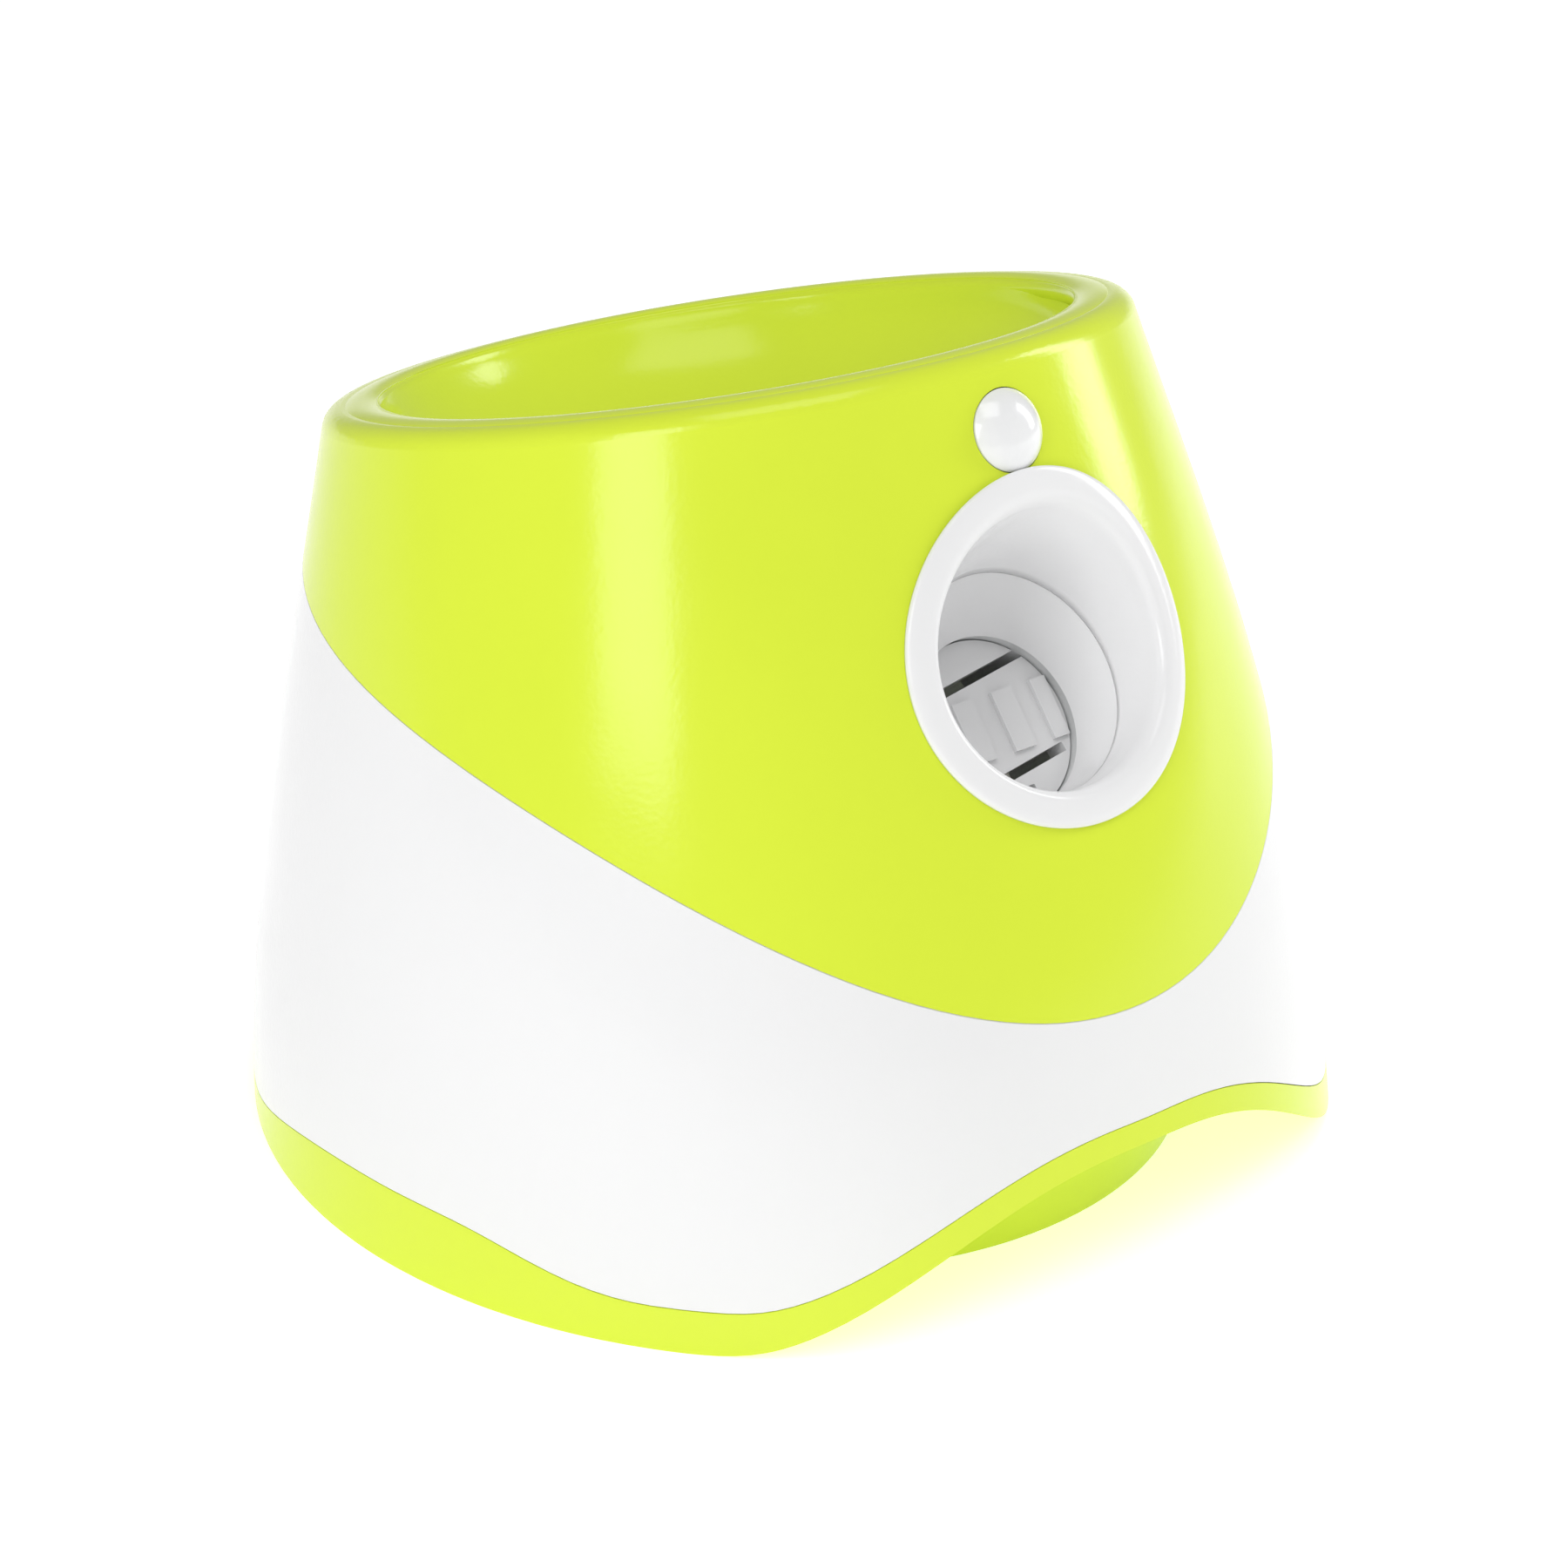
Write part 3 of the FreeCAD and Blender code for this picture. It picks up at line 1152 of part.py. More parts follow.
panel = panel.cut(back_rod(jack_x, jack_z, size("jack_radius") + size("part_gap"), -30, 30))
light_spots = [(size("light_pitch") * step, 127.0) for step in (-1, 0, 1)]
for x, z in light_spots:
    panel = panel.cut(back_rod(x, z, size("light_radius") + 0.15, -30, 30))
solid(panel, "control_panel")

# Buttons: caps that follow the body's curve, with a flange and a stem for the switch.
SWITCH_FRONT = -10.2
switches = []
for label, x, radius in buttons:
    z = size("button_height")
    cap_form = back_rod(x, z, radius, -30, 30).common(body_form(size("button_proud")))
    cap_form = cap_form.cut(body_form(-6.5))
    edge_form = back_rod(x, z, radius + 1.4, -30, 30)
    edge_form = edge_form.common(body_form(-panel_inner - size("part_gap"))).cut(body_form(-6.5))
    stem = back_rod(x, z, 1.5, SWITCH_FRONT - 1.2, -4)
    solid(cap_form.fuse(edge_form).fuse(stem), label)
    housing = Part.makeBox(6, 4, 6, Vector(x - 3, board_y, z - 3))
    switches.append(housing.cut(back_rod(x, z, 1.8, SWITCH_FRONT - 3.4, 0)))
solid(Part.makeCompound(switches), "button_switches")

# Board, speaker, lights and power inlet behind the panel.
solid(Part.makeBox(76, size("board_thickness"), 42,
                   Vector(-38, board_y - size("board_thickness"), 88)), "control_board")
solid(back_rod(speaker_x, speaker_z, 10, -11.7, -6.7), "speaker")
lights = [back_rod(x, z, size("light_radius"), -14.2, 30).common(body_form(0.4)) for x, z in light_spots]
solid(Part.makeCompound(lights), "status_lights")
jack = back_rod(jack_x, jack_z, size("jack_radius"), -14.2, -3.5)
solid(jack.cut(back_rod(jack_x, jack_z, 2.8, -12.7, 0)), "power_inlet")
solid(back_rod(jack_x, jack_z, 1.0, -12.7, -4.0), "inlet_pin")

# Checks and export, with the machine's footprint centred on the origin.
doc.recompute()
tray_box = next(node for node in sub_parts if node.Label == "base_tray").Shape.optimalBoundingBox()
centring = Vector(0, -(tray_box.YMin + tray_box.YMax) / 2, 0)
print("centring", round(centring.y, 4), "back_y", round(back_y, 4), "lens", lens_point, lens_axis)
for node in doc.Objects:
    if "Invalid" in node.State or "Error" in node.State:
        raise RuntimeError("not computed: " + node.Label)
for node in sub_parts:
    if node.Shape.isNull() or not node.Shape.isValid() or not node.Shape.Solids:
        raise RuntimeError("not a valid solid: " + node.Label)
    exported = node.Shape.copy()
    exported.translate(centring)
    exported.exportStep("parts/" + node.Label + ".step")
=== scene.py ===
import bpy
import json
import math
import numpy as np
from mathutils import Matrix, Vector


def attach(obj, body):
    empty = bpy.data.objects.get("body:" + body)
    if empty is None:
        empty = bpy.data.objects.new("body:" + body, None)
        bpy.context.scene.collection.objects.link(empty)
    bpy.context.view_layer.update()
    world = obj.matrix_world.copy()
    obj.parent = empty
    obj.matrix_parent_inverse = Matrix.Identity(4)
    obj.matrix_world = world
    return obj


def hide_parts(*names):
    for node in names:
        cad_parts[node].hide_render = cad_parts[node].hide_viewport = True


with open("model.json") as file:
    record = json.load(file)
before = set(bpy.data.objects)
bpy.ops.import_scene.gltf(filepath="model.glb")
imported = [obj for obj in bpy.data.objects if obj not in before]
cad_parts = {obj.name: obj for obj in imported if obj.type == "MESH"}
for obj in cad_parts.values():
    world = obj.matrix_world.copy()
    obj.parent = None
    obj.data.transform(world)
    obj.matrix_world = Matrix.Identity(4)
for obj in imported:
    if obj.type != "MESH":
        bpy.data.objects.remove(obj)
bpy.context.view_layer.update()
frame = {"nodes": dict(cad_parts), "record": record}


# Finishes of the model's own nodes. A Term is a shader node's output that adds and
# multiplies like a number, and a Paint is a material that is built from Terms.
class Term:
    def __init__(self, tree, socket):
        self.tree = tree
        self.socket = socket

    def join(self, other, operation):
        node = self.tree.nodes.new("ShaderNodeMath")
        node.operation = operation
        self.tree.links.new(self.socket, node.inputs[0])
        if isinstance(other, Term):
            self.tree.links.new(other.socket, node.inputs[1])
        else:
            node.inputs[1].default_value = other
        return Term(self.tree, node.outputs[0])

    def __add__(self, other):
        return self.join(other, "ADD")

    def __mul__(self, other):
        return self.join(other, "MULTIPLY")

    def ramp(self, low, high):
        """0 below low, 1 above high and smooth between them."""
        node = self.tree.nodes.new("ShaderNodeMapRange")
        node.interpolation_type = "SMOOTHSTEP"
        self.tree.links.new(self.socket, node.inputs["Value"])
        node.inputs["From Min"].default_value = low
        node.inputs["From Max"].default_value = high
        return Term(self.tree, node.outputs["Result"])


COAT_ROUGHNESS = 0.05


class Paint:
    """A material under construction, on a Principled shader."""
    def __init__(self, name, colour, roughness, metallic=0.0, coat=0.0):
        self.material = bpy.data.materials.new(name)
        self.material.use_nodes = True
        self.tree = self.material.node_tree
        self.shader = self.tree.nodes["Principled BSDF"]
        self.colour = colour
        self.shader.inputs["Base Color"].default_value = (*colour, 1.0)
        self.shader.inputs["Roughness"].default_value = roughness
        self.shader.inputs["Metallic"].default_value = metallic
        self.shader.inputs["Coat Weight"].default_value = coat
        self.shader.inputs["Coat Roughness"].default_value = COAT_ROUGHNESS
        self.place = self.tree.nodes.new("ShaderNodeTexCoord").outputs["Object"]

    def stretched(self, x, y, z):
        node = self.tree.nodes.new("ShaderNodeMapping")
        node.inputs["Scale"].default_value = (x, y, z)
        self.tree.links.new(self.place, node.inputs["Vector"])
        return node.outputs["Vector"]

    def noise(self, scale, detail=2.0, place=None):
        node = self.tree.nodes.new("ShaderNodeTexNoise")
        node.inputs["Scale"].default_value = scale
        node.inputs["Detail"].default_value = detail
        self.tree.links.new(place or self.place, node.inputs["Vector"])
        return Term(self.tree, node.outputs["Fac"])

    def cells(self, scale, place=None):
        node = self.tree.nodes.new("ShaderNodeTexVoronoi")
        node.inputs["Scale"].default_value = scale
        self.tree.links.new(place or self.place, node.inputs["Vector"])
        return Term(self.tree, node.outputs["Distance"])

    def axis(self, name):
        node = self.tree.nodes.new("ShaderNodeSeparateXYZ")
        self.tree.links.new(self.place, node.inputs[0])
        return Term(self.tree, node.outputs[name])

    def tint(self, factor, other):
        """Turns the base colour towards another one where factor is 1."""
        node = self.tree.nodes.new("ShaderNodeMix")
        node.data_type = "RGBA"
        self.tree.links.new(factor.socket, node.inputs["Factor"])
        linked = self.shader.inputs["Base Color"].links
        if linked:
            self.tree.links.new(linked[0].from_socket, node.inputs["A"])
        else:
            node.inputs["A"].default_value = (*self.colour, 1.0)
        node.inputs["B"].default_value = (*other, 1.0)
        self.tree.links.new(node.outputs["Result"], self.shader.inputs["Base Color"])
        return self

    def rough(self, term):
        self.tree.links.new(term.socket, self.shader.inputs["Roughness"])
        return self

    def bump(self, term, depth, strength=1.0):
        node = self.tree.nodes.new("ShaderNodeBump")
        node.inputs["Distance"].default_value = depth
        node.inputs["Strength"].default_value = strength
        self.tree.links.new(term.socket, node.inputs["Height"])
        self.tree.links.new(node.outputs["Normal"], self.shader.inputs["Normal"])
        return self


# Moulded plastics and plated metals. Slow noise shades the colour a little, finer noise
# varies the roughness, and the finest stands for orange peel, grain or drawn lines.
GLOSS_SPECULAR = 0.32
GLOSS_ROUGHNESS = 0.16
ORANGE_PEEL = 0.00003
SATIN_ROUGHNESS = 0.42
SATIN_GRAIN = 0.00004
DRAWN_LINES = 0.00002
WORN_SHADE = 0.7


def glossy(name, colour, deeper):
    shading, shading_edge, shading_share = 9.0, (0.45, 0.75), 0.35
    handling, handling_spread, handling_middle = 26.0, 0.08, 0.03
    peel_scale = 620.0
    paint = Paint(name, colour, GLOSS_ROUGHNESS)
    paint.shader.inputs["Specular IOR Level"].default_value = GLOSS_SPECULAR
    paint.tint(paint.noise(shading, 3.0).ramp(*shading_edge) * shading_share, deeper)
    paint.rough(paint.noise(handling, 4.0) * handling_spread + (GLOSS_ROUGHNESS - handling_middle))
    paint.bump(paint.noise(peel_scale, 1.0), ORANGE_PEEL)
    return paint.material


def satin(name, colour, deeper, roughness=SATIN_ROUGHNESS):
    shading, shading_edge, shading_share = 30.0, (0.4, 0.8), 0.4
    handling, handling_spread, handling_middle = 160.0, 0.14, 0.06
    grain_scale = 1500.0
    paint = Paint(name, colour, roughness)
    paint.tint(paint.noise(shading, 4.0).ramp(*shading_edge) * shading_share, deeper)
    paint.rough(paint.noise(handling, 3.0) * handling_spread + (roughness - handling_middle))
    paint.bump(paint.noise(grain_scale, 2.0), SATIN_GRAIN)
    return paint.material


def metal(name, colour, roughness, lines):
    wear, wear_edge, wear_share = 55.0, (0.5, 0.85), 0.4
    line_scale, line_spread, line_middle = 90.0, 0.22, 0.08
    paint = Paint(name, colour, roughness, metallic=1.0)
    fine = paint.noise(line_scale, 3.0, paint.stretched(*lines))
    paint.rough(fine * line_spread + (roughness - line_middle))
    worn = tuple(part * WORN_SHADE for part in colour)
    paint.tint(paint.noise(wear, 4.0).ramp(*wear_edge) * wear_share, worn)
    paint.bump(fine, DRAWN_LINES)
    return paint.material


lime = glossy("lime_plastic", (0.715, 0.862, 0.048), (0.655, 0.805, 0.038))
white = glossy("white_plastic", (0.86, 0.86, 0.865), (0.83, 0.83, 0.835))
panel_grey = satin("panel_plastic", (0.58, 0.59, 0.60), (0.53, 0.54, 0.55))
pale = satin("pale_plastic", (0.70, 0.71, 0.71), (0.64, 0.65, 0.65))
dark = satin("dark_plastic", (0.028, 0.028, 0.03), (0.04, 0.04, 0.042))
ACETAL_ROUGHNESS = 0.34
acetal = satin("gear_plastic", (0.82, 0.80, 0.72), (0.76, 0.73, 0.64), ACETAL_ROUGHNESS)
steel = metal("plated_steel", (0.62, 0.63, 0.65), 0.28, (1.0, 40.0, 40.0))
brass = metal("brass", (0.78, 0.58, 0.27), 0.25, (1.0, 30.0, 30.0))
can = metal("motor_can", (0.50, 0.50, 0.51), 0.34, (0.6, 60.0, 60.0))

# Rubber feet: black, with a fine pebbled face that scatters the light.
PEBBLES = 900.0
PEBBLE_DEPTH = 0.00008
RUBBER_DUST = 300.0
RUBBER_SPREAD = 0.2
RUBBER_ROUGHNESS = 0.62
paint = Paint("foot_rubber", (0.03, 0.03, 0.03), 0.75)
paint.rough(paint.noise(RUBBER_DUST, 3.0) * RUBBER_SPREAD + RUBBER_ROUGHNESS)
paint.bump(paint.cells(PEBBLES), PEBBLE_DEPTH)
rubber = paint.material

# Circuit boards: green solder mask with slightly raised, brighter tracks that
# run mostly one way.
TRACK_SCALE = 240.0
TRACK_EDGE = (0.52, 0.56)
TRACK_HEIGHT = 0.00003
paint = Paint("circuit_board", (0.02, 0.16, 0.06), 0.3, coat=0.3)
tracks = paint.noise(TRACK_SCALE, 1.0, paint.stretched(1.0, 1.0, 6.0)).ramp(*TRACK_EDGE)
circuit = paint.tint(tracks, (0.035, 0.25, 0.09)).bump(tracks, TRACK_HEIGHT).material

# Battery cells: dark sleeves without words, copper coloured towards their ends, outside
# this distance from the machine's middle plane.
BAND_FROM = 0.036
BAND_TO = 0.0365
SLEEVE_WEAR = 80.0
SLEEVE_SPREAD = 0.1
SLEEVE_ROUGHNESS = 0.22
paint = Paint("cell_sleeve", (0.05, 0.055, 0.06), 0.28, metallic=0.4, coat=0.4)
band = paint.axis("X").join(0.0, "ABSOLUTE").ramp(BAND_FROM, BAND_TO)
paint.tint(band, (0.72, 0.50, 0.22))
paint.rough(paint.noise(SLEEVE_WEAR, 3.0) * SLEEVE_SPREAD + SLEEVE_ROUGHNESS)
sleeve = paint.material

# Sensor lens and status lights: milky white over faint facets, and clear green.
FACETS = 330.0
FACET_DEPTH = 0.00006
CLOUDS = 60.0
CLOUD_EDGE = (0.45, 0.7)
CLOUD_SHARE = 0.3
SPECKS = 500.0
SPECK_EDGE = (0.4, 0.7)
SPECK_SHARE = 0.4
paint = Paint("sensor_lens", (0.88, 0.885, 0.89), 0.2, coat=0.5)
paint.tint(paint.noise(CLOUDS, 2.0).ramp(*CLOUD_EDGE) * CLOUD_SHARE, (0.80, 0.81, 0.82))
lens_skin = paint.bump(paint.cells(FACETS), FACET_DEPTH).material
paint = Paint("status_light", (0.16, 0.62, 0.2), 0.18, coat=0.5)
paint.tint(paint.noise(SPECKS).ramp(*SPECK_EDGE) * SPECK_SHARE, (0.3, 0.8, 0.35))
light_skin = paint.material

# Every node of the model gets the finish of its slot in the record. Its shape stays
# as it came.
FINISHES = {
    "lime": lime,
    "white": white,
    "panel_grey": panel_grey,
    "dark_plastic": dark,
    "pale_plastic": pale,
    "gear_plastic": acetal,
    "steel": steel,
    "brass": brass,
    "foot_rubber": rubber,
    "circuit": circuit,
    "cell_wrap": sleeve,
    "lens": lens_skin,
    "light": light_skin,
    "motor_can": can,
}
for entry in frame["record"]["subparts"]:
    mesh = frame["nodes"][entry["node"]].data
    mesh.materials.clear()
    mesh.materials.append(FINISHES[entry["material_slot"]])

# Launch ring: a white moulded flange that lies on the body's skin, softly rounded into
# its mouth. The skin is worked out first, as leaning circles from the floor up to the
# rim, in millimetres, and the ring's loops of spots are laid on it.
MM = 0.001
CENTRING = -4.278
RIM_TILT = 15.15
RIM_HEIGHT = 223.3
LEVELS = np.array([0.0, 56.0, 112.0, 168.0, RIM_HEIGHT])
BACKS = np.array([0.0, 6.5, 14.6, 25.3, 37.0])
RADII = np.array([165.0, 158.9, 148.0, 133.6, 118.4])
LEAN_TURNS = 12
SEARCH_REACH = 70.0
HALVINGS = 40


def smooth_through(knots, values):
    """Natural cubic curve through a few values."""
    steps = np.diff(knots)
    slopes = np.diff(values) / steps
    system = np.eye(len(knots))
    bends = np.zeros(len(knots))
    for index in range(1, len(knots) - 1):
        system[index, index - 1:index + 2] = (steps[index - 1],
                                              2 * (steps[index - 1] + steps[index]), steps[index])
        bends[index] = 6 * (slopes[index] - slopes[index - 1])
    bends = np.linalg.solve(system, bends)

    def value(places):
        part = np.clip(np.searchsorted(knots, places) - 1, 0, len(steps) - 1)
        width = steps[part]
        along = places - knots[part]
        left = knots[part + 1] - places
        return (
            (bends[part] * left ** 3 + bends[part + 1] * along ** 3) / (6 * width)
            + (values[part] / width - bends[part] * width / 6) * left
            + (values[part + 1] / width - bends[part + 1] * width / 6) * along
        )
    return value


back_at = smooth_through(LEVELS, BACKS)
radius_at = smooth_through(LEVELS, RADII)


def outside_body(spots):
    """How far each spot stands off the body's skin."""
    level = spots[:, 2].copy()
    for turn in range(LEAN_TURNS):
        lean = np.tan(np.radians(RIM_TILT) * level / RIM_HEIGHT)
        level = spots[:, 2] + (spots[:, 1] - back_at(level)) * lean
    lean = np.radians(RIM_TILT) * level / RIM_HEIGHT
    across = (spots[:, 1] - back_at(level)) / np.cos(lean)
    return np.hypot(spots[:, 0], across) - radius_at(level)


def laid_on_body(spots, direction, lift):
    """Spots slid along a direction until they stand that far off the skin."""
    low = np.full(len(spots), -SEARCH_REACH)
    high = np.full(len(spots), SEARCH_REACH)
    for turn in range(HALVINGS):
        middle = (low + high) / 2
        outside = outside_body(spots + middle[:, None] * direction) > lift
        high = np.where(outside, middle, high)
        low = np.where(outside, low, middle)
    return spots + low[:, None] * direction


def ring_of_spots(centre, direction, radius, count):
    """A circle of spots about a direction in the machine's middle plane."""
    turns = np.linspace(0, 2 * np.pi, count, endpoint=False)
    upright = np.cross(direction, (1.0, 0.0, 0.0))
    return (np.asarray(centre) + radius * np.cos(turns)[:, None] * np.array([1.0, 0.0, 0.0])
            + radius * np.sin(turns)[:, None] * upright)


def closed_skin(name, loops, material):
    """A closed skin through loops of spots, the last joined to the first again."""
    count = len(loops[0])
    spots = np.concatenate(loops) + np.array([0.0, CENTRING, 0.0])
    faces = []
    for row in range(len(loops)):
        after = (row + 1) % len(loops)
        for column in range(count):
            beside = (column + 1) % count
            faces.append((row * count + column, row * count + beside,
                          after * count + beside, after * count + column))
    mesh = bpy.data.meshes.new(name)
    mesh.from_pydata((spots * MM).tolist(), [], faces)
    mesh.polygons.foreach_set("use_smooth", [True] * len(faces))
    mesh.materials.append(material)
    mesh.update()
    piece = bpy.data.objects.new(name, mesh)
    bpy.context.scene.collection.objects.link(piece)
    return piece


def leaning(degrees):
    """Direction in the middle plane, towards the front and up."""
    lean = math.radians(degrees)
    return np.array([0.0, -math.cos(lean), math.sin(lean)])


RING_AROUND = 160
RING_ANGLE = 33.7
LAUNCH_ANGLE = 41.5
RING_HEIGHT = 180.1
MUZZLE = (0.0, -98.1, 157.6)
MUZZLE_LIFT = 6.2
MUZZLE_RADIUS = 33.2
RING_WALL = 2.2
MOUTH_ROWS = 10
FLANGE_PROFILE = (
    (48.6, 0.3), (48.6, 0.9), (48.3, 1.45), (47.6, 1.8), (46.4, 2.0), (44.6, 2.15), (42.8, 2.1),
    (41.4, 1.8), (40.3, 1.2), (39.4, 0.3), (38.7, -0.9), (38.2, -2.4), (37.9, -4.2),
)
FLANGE_UNDERSIDE = ((40.6, -3.4), (41.6, 0.3))
ring_axis = leaning(RING_ANGLE)
muzzle_axis = leaning(LAUNCH_ANGLE)
forward = np.array([0.0, -1.0, 0.0])
within_reach = np.array([[0.0, -60.0, RING_HEIGHT]])
ring_centre = laid_on_body(within_reach, forward, 0.0)[0]
muzzle_centre = np.array(MUZZLE) + MUZZLE_LIFT * np.cross(muzzle_axis, (1.0, 0.0, 0.0))
loops = []
for radius, lift in FLANGE_PROFILE:
    circle = ring_of_spots(ring_centre, ring_axis, radius, RING_AROUND)
    loops.append(laid_on_body(circle, ring_axis, lift))
mouth_edge = loops[-1]
muzzle_edge = ring_of_spots(muzzle_centre, muzzle_axis, MUZZLE_RADIUS, RING_AROUND)
for row in range(1, MOUTH_ROWS + 1):
    share = row / MOUTH_ROWS
    loops.append(mouth_edge * (1 - share) + muzzle_edge * share)
loops.append(ring_of_spots(muzzle_centre, muzzle_axis, MUZZLE_RADIUS + RING_WALL, RING_AROUND))
for radius, lift in FLANGE_UNDERSIDE:
    circle = ring_of_spots(ring_centre, ring_axis, radius, RING_AROUND)
    loops.append(laid_on_body(circle, ring_axis, lift))
ring = closed_skin("launch_ring_skin", loops, white)
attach(ring, "housing")
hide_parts("launch_ring")

# Hopper: the lime bowl, whose rolled lip lies over the shell's edge and hides the joint.
# Its loops tilt from the rim's angle to the barrel's on the way down to the chute.
BOWL_AROUND = 192
HOPPER_WALL = 2.4
CHUTE_WAY = 80.3
CHUTE_DEPTH = 66.0
LIP_RADIUS = 102.4
SHOULDER_DEPTH = 19.5
WAIST_DEPTH = 41.0
BOWL_RADII = np.array([LIP_RADIUS, 95.5, 62.5, 29.9])
BOWL_ROWS = 26
ROLL_PROFILE = (
    (112.4, -0.1), (112.0, 0.12), (111.0, 0.42), (109.4, 0.72), (107.4, 0.85), (105.4, 0.72),
    (103.7, 0.3), (102.3, -0.5),
)
ROLL_DROPS = ((1.6, 1.9), (3.0, 1.0), (4.8, 0.4), (7.0, 0.1))
LIP_SEAT = ((0.4, -5.0), (0.2, -0.6))
rim_axis = np.array([0.0, math.sin(math.radians(RIM_TILT)), math.cos(math.radians(RIM_TILT))])
rim_centre = np.array([0.0, BACKS[-1], RIM_HEIGHT])
chute_up = np.cross(muzzle_axis, (1.0, 0.0, 0.0))
bowl_end = np.array(MUZZLE) - CHUTE_DEPTH * muzzle_axis + CHUTE_WAY * chute_up
bowl_way = float(np.linalg.norm(bowl_end - rim_centre))
bowl_stops = np.array([0.0, SHOULDER_DEPTH / bowl_way, WAIST_DEPTH / bowl_way, 1.0])
bowl_curve = np.polyfit(bowl_stops, BOWL_RADII, 3)


def bowl_loop(share, radius, lift=0.0):
    """A loop of the bowl: its centre and its tilt follow the way down to the chute."""
    tilt = RIM_TILT + (LAUNCH_ANGLE - RIM_TILT) * share ** 2
    axis = np.array([0.0, math.sin(math.radians(tilt)), math.cos(math.radians(tilt))])
    centre = rim_centre + (bowl_end - rim_centre) * share + rim_axis * lift
    return ring_of_spots(centre, axis, radius, BOWL_AROUND)


loops = [bowl_loop(0.0, radius, lift) for radius, lift in ROLL_PROFILE]
for drop, extra in ROLL_DROPS:
    share = drop / bowl_way
    loops.append(bowl_loop(share, float(np.polyval(bowl_curve, share)) - HOPPER_WALL + extra))
start = ROLL_DROPS[-1][0] / bowl_way
for row in range(1, BOWL_ROWS + 1):
    share = start + (1.0 - start) * row / BOWL_ROWS
    loops.append(bowl_loop(share, float(np.polyval(bowl_curve, share)) - HOPPER_WALL))
for row in range(BOWL_ROWS + 1):
    share = 1.0 - (1.0 - start) * row / BOWL_ROWS
    loops.append(bowl_loop(share, float(np.polyval(bowl_curve, share))))
for inwards, lift in LIP_SEAT:
    loops.append(bowl_loop(0.0, LIP_RADIUS - inwards, lift))
bowl = closed_skin("hopper_bowl", loops, lime)
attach(bowl, "housing")
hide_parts("hopper")

# Floor and world: a white sweep that glows a little, so that it meets the white
# background without a line, under an even white sky.
FLOOR_SIDE = 8.0
FLOOR_COLOUR = (0.93, 0.93, 0.93)
FLOOR_ROUGHNESS = 0.8
FLOOR_PATCHES = 3.0
PATCH_SPREAD = 0.1
FLOOR_GLOW = 0.5
SKY_STRENGTH = 0.38
OPAQUE_WHITE = (1.0, 1.0, 1.0, 1.0)
floor_mesh = bpy.data.meshes.new("floor")
half = FLOOR_SIDE / 2
floor_mesh.from_pydata([(-half, -half, 0), (half, -half, 0), (half, half, 0), (-half, half, 0)],
                       [], [(0, 1, 2, 3)])
floor = bpy.data.objects.new("floor", floor_mesh)
bpy.context.scene.collection.objects.link(floor)
floor_paint = Paint("floor", FLOOR_COLOUR, FLOOR_ROUGHNESS)
patches = floor_paint.noise(FLOOR_PATCHES) * PATCH_SPREAD
floor_paint.rough(patches + (FLOOR_ROUGHNESS - PATCH_SPREAD / 2))
floor_paint.shader.inputs["Emission Color"].default_value = OPAQUE_WHITE
floor_paint.shader.inputs["Emission Strength"].default_value = FLOOR_GLOW
floor_mesh.materials.append(floor_paint.material)

world = bpy.data.worlds.new("studio")
world.use_nodes = True
world.node_tree.nodes["Background"].inputs["Color"].default_value = OPAQUE_WHITE
world.node_tree.nodes["Background"].inputs["Strength"].default_value = SKY_STRENGTH
bpy.context.scene.world = world
bpy.context.scene.view_settings.view_transform = "Standard"

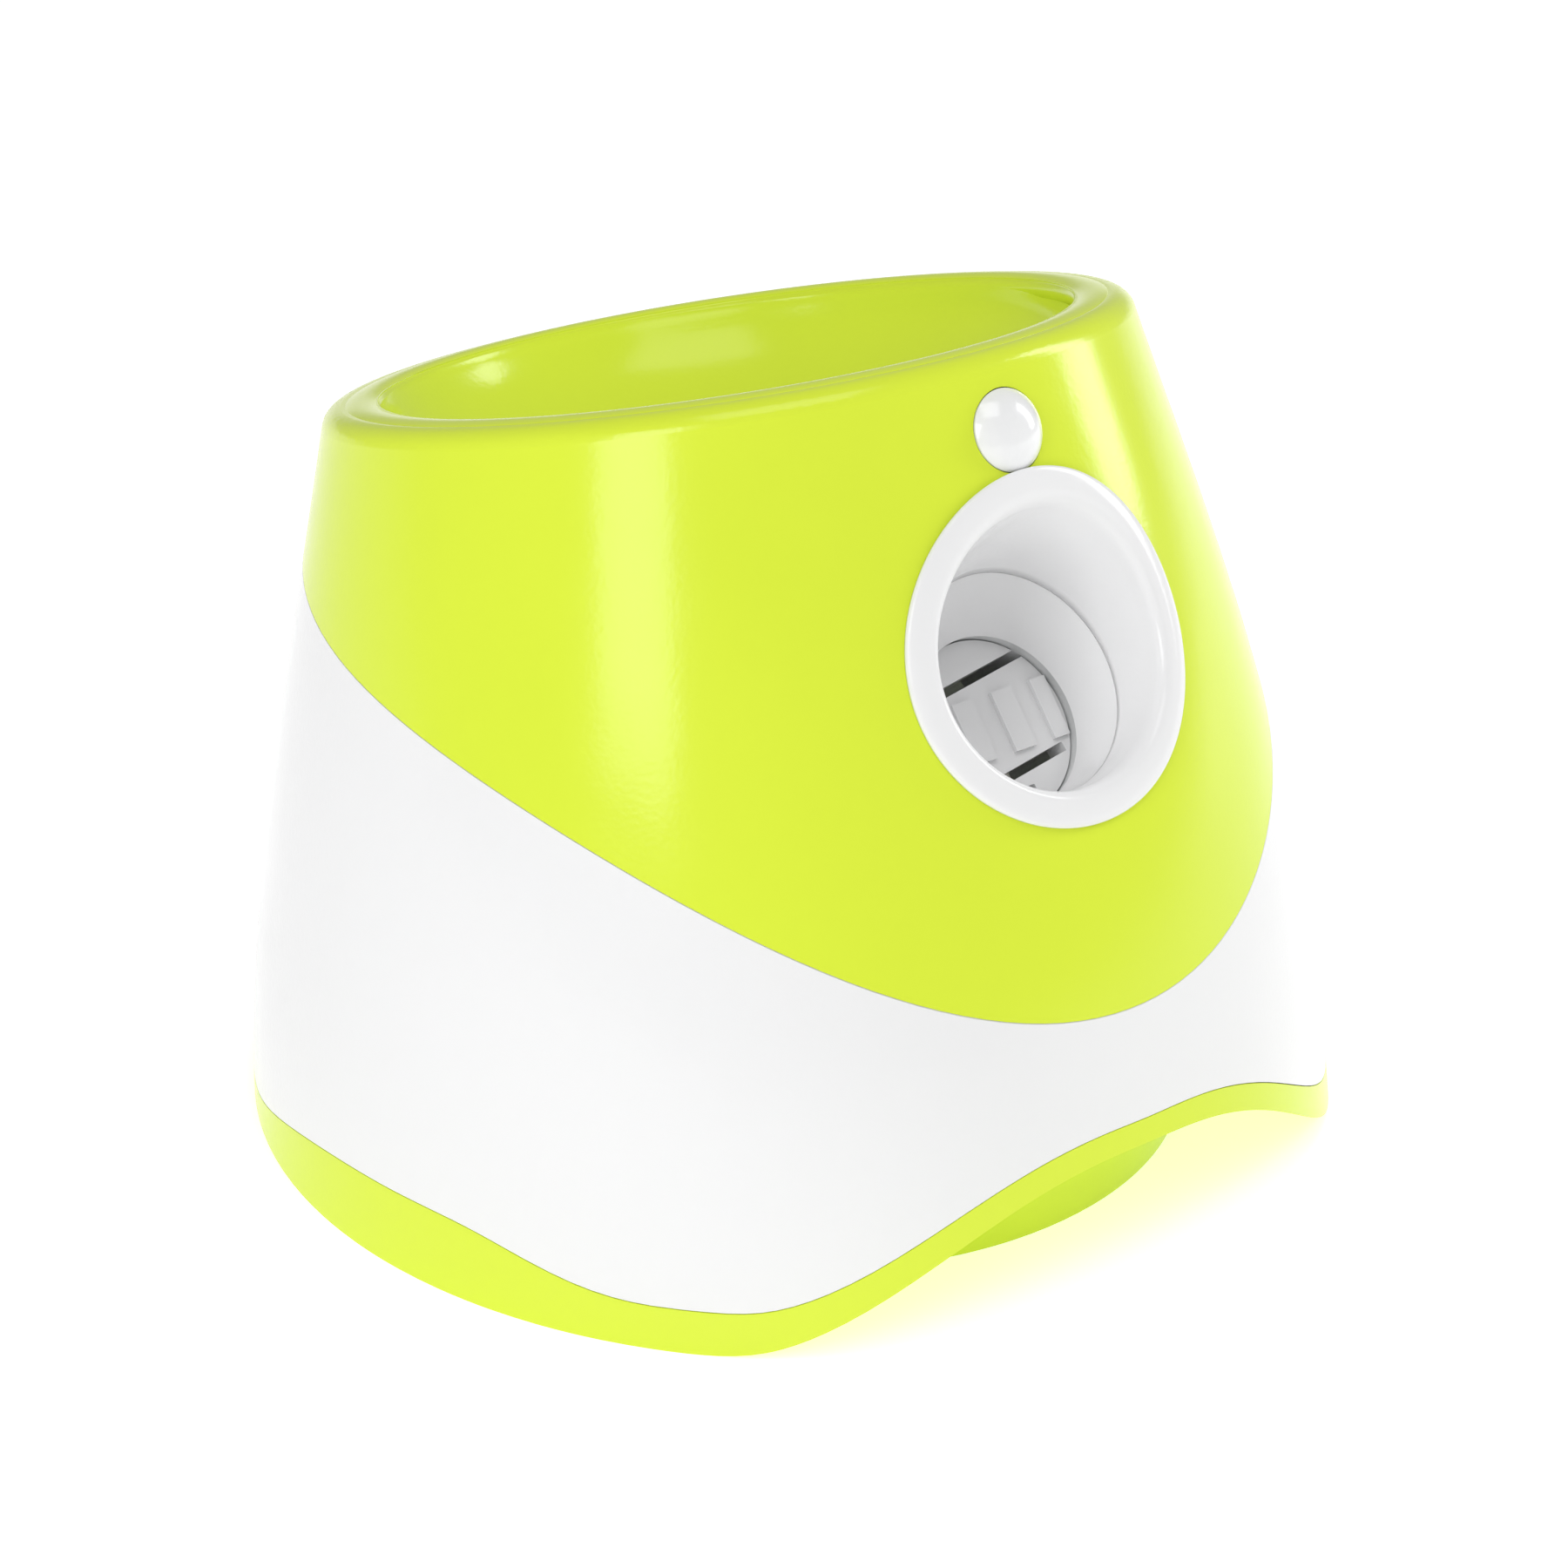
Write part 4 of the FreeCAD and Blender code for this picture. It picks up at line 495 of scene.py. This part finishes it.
# Softboxes: two upright ones that leave a soft streak on each side of the body, and one
# overhead. Each row gives a name, a place, a width, a height and a power in watts.
BODY_MIDDLE = (0.0, 0.0, 0.13)
SOFTBOXES = (
    ("left_softbox", (-2.0, -0.75, 1.2), 0.75, 1.3, 17.0),
    ("right_softbox", (1.75, -0.55, 0.9), 0.5, 1.3, 15.0),
    ("top_softbox", (-0.3, -0.5, 2.2), 1.2, 1.2, 10.5),
)


def panel_light(name, place, target, wide, tall, power):
    """Rectangular soft light that faces its target with its long side upright."""
    data = bpy.data.lights.new(name, "AREA")
    data.shape = "RECTANGLE"
    data.size = wide
    data.size_y = tall
    data.energy = power
    lamp = bpy.data.objects.new(name, data)
    back = (Vector(place) - Vector(target)).normalized()
    side = Vector((0, 0, 1)).cross(back).normalized()
    up = back.cross(side)
    lamp.matrix_world = Matrix((
        (side.x, up.x, back.x, place[0]),
        (side.y, up.y, back.y, place[1]),
        (side.z, up.z, back.z, place[2]),
        (0, 0, 0, 1),
    ))
    bpy.context.scene.collection.objects.link(lamp)


for name, place, wide, tall, power in SOFTBOXES:
    panel_light(name, place, BODY_MIDDLE, wide, tall, power)

# Camera: placed, turned and zoomed as fitted to the photograph's rim, ring, seam and
# foot line.
CAMERA_PLACE = (-0.7037, -0.8559, 0.6290)
AZIMUTH = math.radians(-39.357)
ELEVATION = math.radians(25.795)
ROLL = math.radians(1.087)
FOCAL = 94.13
SENSOR_WIDTH = 36.0
camera_data = bpy.data.cameras.new("camera")
camera_data.lens = FOCAL
camera_data.sensor_width = SENSOR_WIDTH
camera = bpy.data.objects.new("camera", camera_data)
level = Vector((math.cos(AZIMUTH), math.sin(AZIMUTH), 0))
back = Vector((math.sin(AZIMUTH) * math.cos(ELEVATION), -math.cos(AZIMUTH) * math.cos(ELEVATION),
               math.sin(ELEVATION)))
up = back.cross(level)
side = level * math.cos(ROLL) + up * math.sin(ROLL)
up = up * math.cos(ROLL) - level * math.sin(ROLL)
camera.matrix_world = Matrix((
    (side.x, up.x, back.x, CAMERA_PLACE[0]),
    (side.y, up.y, back.y, CAMERA_PLACE[1]),
    (side.z, up.z, back.z, CAMERA_PLACE[2]),
    (0, 0, 0, 1),
))
bpy.context.scene.collection.objects.link(camera)
bpy.context.scene.camera = camera
